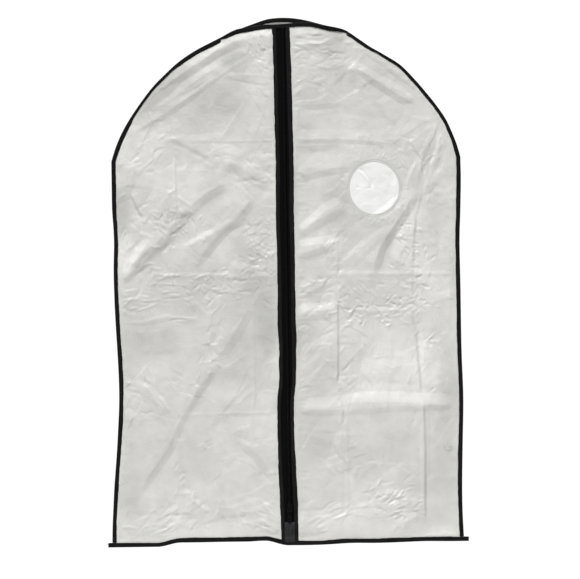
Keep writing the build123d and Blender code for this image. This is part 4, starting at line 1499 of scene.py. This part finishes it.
for side, name in ((-1, "left"), (1, "right")):
    for part, low, high, ramp in HALVES:
        half, zone = f"{name}_{part}", "ends" if part == "upper" else "middle"
        place = (side, low, high)
        pieces = (
            (strip_piece(f"zip_edge_tape_{half}", *place, binding_profile(), 50 + side, 1.0),
             ZIP_BINDING, "zip_binding", "zip_binding"),
            (strip_piece(f"zip_cloth_{half}", *place, TAPE_PROFILE, 60 + side, 0.4),
             TAPE, "zip_tape", "zip_tape"),
            (coil_piece(f"zip_helix_{half}", *place), COIL, "zip_coil", "zip_coil"),
            (zip_stitches(f"zip_stitches_{half}", *place), THREAD, "thread", "zip_thread"),
        )
        for piece, material, slot, node in pieces:
            flap_blend(dress(piece, material), ramp)
            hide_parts(f"{node}_{name}_{zone}")


# ------------------------------------------------------- tab over the zip's foot
TAB_OVERLAP = 0.6           # how much wider than its CAD node the tab is, on each side
TAB_THICKNESS = 0.4
TAB_FOLD = -890.5           # height of the lower row of stitches, above the fold
TAB_PITCH = 3.0


def make_end_tab():
    """A patch of non-woven tape that bends down from the zip to the hem."""
    half = tab_high[0] + TAB_OVERLAP
    front = tab_low[1]
    hem_front = SEAM_Y - hem_forward(0.0, FLOOR)
    line = resample(np.array([
        (front, tab_high[2]), (front - 0.1, -880.0), (front + 0.4, -888.0), (front + 1.4, -894.0),
        (hem_front - 2.9, -898.6), (hem_front - 1.9, -901.6), (hem_front - 0.9, -903.6),
        (hem_front - 0.5, tab_low[2] + 1.5),
    ]), 0.8)
    line[:, 1] += drift("hem", np.array(0.0)) * smooth((-880 - line[:, 1]) / 20)
    x = np.linspace(-half, half, 40)
    ripple = 0.42 * np.cos(x / half * math.pi * 2.5) + 0.16 * np.cos(x * 1.9 + 1)
    edge_turn = 0.45 * smooth((np.abs(x) - half + 1.4) / 1.4)
    y, z = line.T[:, :, None] + np.stack([ripple + edge_turn, np.zeros(len(x))])[:, None, :]
    points = np.stack([np.broadcast_to(x, y.shape), y, z], axis=-1).reshape(-1, 3)
    tab = new_object("end_tab_cloth", points, grid_faces(*y.shape))
    solid = tab.modifiers.new("thickness", "SOLIDIFY")
    solid.thickness = TAB_THICKNESS * MM
    solid.offset = -1
    return tab


end_tab = make_end_tab()
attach(dress(end_tab, TAB_CLOTH), "root")
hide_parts("zip_end_tab")


def tab_stitches():
    """A box of stitches round the tab and two upright rows inside it."""
    half = tab_high[0] - 1.6
    top, bottom = tab_high[2] - 1.8, TAB_FOLD
    y = tab_low[1] - 0.2
    level = [(x, y, z) for z in (top, bottom) for x in np.arange(-half + 1.5, half, TAB_PITCH)]
    upright = [(x, y, z) for x in (-half, -half / 2.2, half / 2.2, half)
               for z in np.arange(bottom + 1.5, top - 1, TAB_PITCH)]
    ways = [(1.0, 0.0, 0.0)] * len(level) + [(0.0, 0.0, 1.0)] * len(upright)
    outs = np.tile((0.0, -1.0, 0.0), (len(ways), 1))
    return stitch_row("tab_stitches", np.array(level + upright), np.array(ways), outs,
                      pitch=TAB_PITCH)


tab_thread = tab_stitches()
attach(dress(tab_thread, THREAD), "root")
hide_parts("tab_thread")

# the slider and its tab keep their CAD shape
for node in ("slider_body", "pull_tab"):
    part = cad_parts[node]
    part.data.materials.clear()
    part.data.materials.append(LACQUER)

# ------------------------------------------------------------ what stands for what
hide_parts("back_panel")
for name, pieces in (("left", front_left), ("right", front_right)):
    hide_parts(f"front_panel_{name}_border")
    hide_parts(f"front_panel_{name}_flap")
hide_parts("window_disc")


# ------------------------------------------------------------- studio and camera
def area_light(name, place, target, size, energy):
    """A soft square light that points at a place."""
    data = bpy.data.lights.new(name, "AREA")
    data.energy = energy
    data.size = size
    light = bpy.data.objects.new(name, data)
    light.location = place
    aim = Vector(target) - Vector(place)
    light.rotation_euler = aim.to_track_quat("-Z", "Y").to_euler()
    bpy.context.scene.collection.objects.link(light)


def make_floor():
    """A plain pale floor below the hanging bag."""
    mesh = bpy.data.meshes.new("studio_floor")
    half, level = 1.3, -1.45
    corners = [(x * half, y * half, level) for x, y in ((-1, -1), (1, -1), (1, 1), (-1, 1))]
    mesh.from_pydata(corners, [], [(0, 1, 2, 3)])
    floor = bpy.data.objects.new("studio_floor", mesh)
    bpy.context.scene.collection.objects.link(floor)
    mat, tree, shader = node_material("floor_paper", (0.62, 0.62, 0.61), 0.9)
    noise = texture(tree, "Noise", object_coordinates(tree), Scale=80.0)
    bump(tree, shader, noise.outputs["Fac"], 0.0003)
    mesh.materials.append(mat)


def make_world():
    """A bright backdrop for the camera and a softer grey room for light and reflections."""
    world = bpy.data.worlds.new("studio")
    bpy.context.scene.world = world
    world.use_nodes = True
    tree = world.node_tree
    tree.nodes.clear()
    out = add(tree, "ShaderNodeOutputWorld")
    room = add(tree, "ShaderNodeBackground", Color=(1, 1, 1, 1), Strength=0.11)
    seen = add(tree, "ShaderNodeBackground", Color=(1, 1, 1, 1), Strength=1.05)
    choose = add(tree, "ShaderNodeMixShader")
    path = add(tree, "ShaderNodeLightPath")
    tree.links.new(path.outputs["Is Camera Ray"], choose.inputs["Fac"])
    tree.links.new(room.outputs[0], choose.inputs[1])
    tree.links.new(seen.outputs[0], choose.inputs[2])
    tree.links.new(choose.outputs[0], out.inputs["Surface"])


def make_camera():
    """Square on to the front, a little above the middle, turned slightly clockwise."""
    data = bpy.data.cameras.new("camera")
    camera = bpy.data.objects.new("camera", data)
    bpy.context.scene.collection.objects.link(camera)
    distance, view_width, roll = 2.6, 0.9967, math.radians(0.8)
    data.sensor_width = 36.0
    data.lens = data.sensor_width * distance / view_width
    target = Vector((0.0060, FRONT_Y * MM, -0.4694))
    right = Vector((math.cos(roll), 0, -math.sin(roll)))
    up = Vector((math.sin(roll), 0, math.cos(roll)))
    back = Vector((0, -1, 0))
    camera.matrix_world = Matrix((
        (right.x, up.x, back.x, target.x),
        (right.y, up.y, back.y, target.y - distance),
        (right.z, up.z, back.z, target.z),
        (0, 0, 0, 1),
    ))
    bpy.context.scene.camera = camera


make_floor()
make_world()
make_camera()
area_light("key", (-3.9, -8.3, 14.0), (0, 0, -0.45), 4.4, 3650)
area_light("gloss", (-0.5, -2.6, 1.2), (0, 0, -0.45), 0.8, 14)
area_light("fill", (1.9, -2.6, -1.2), (0, 0, -0.6), 1.4, 11)
area_light("rear", (-1.0, 2.2, 2.6), (0, 0, -0.45), 1.6, 125)
area_light("floor_fill", (0.3, 0.0, -1.02), (0.3, 0.0, -2.0), 1.6, 5)
bpy.context.scene.view_settings.view_transform = "Standard"
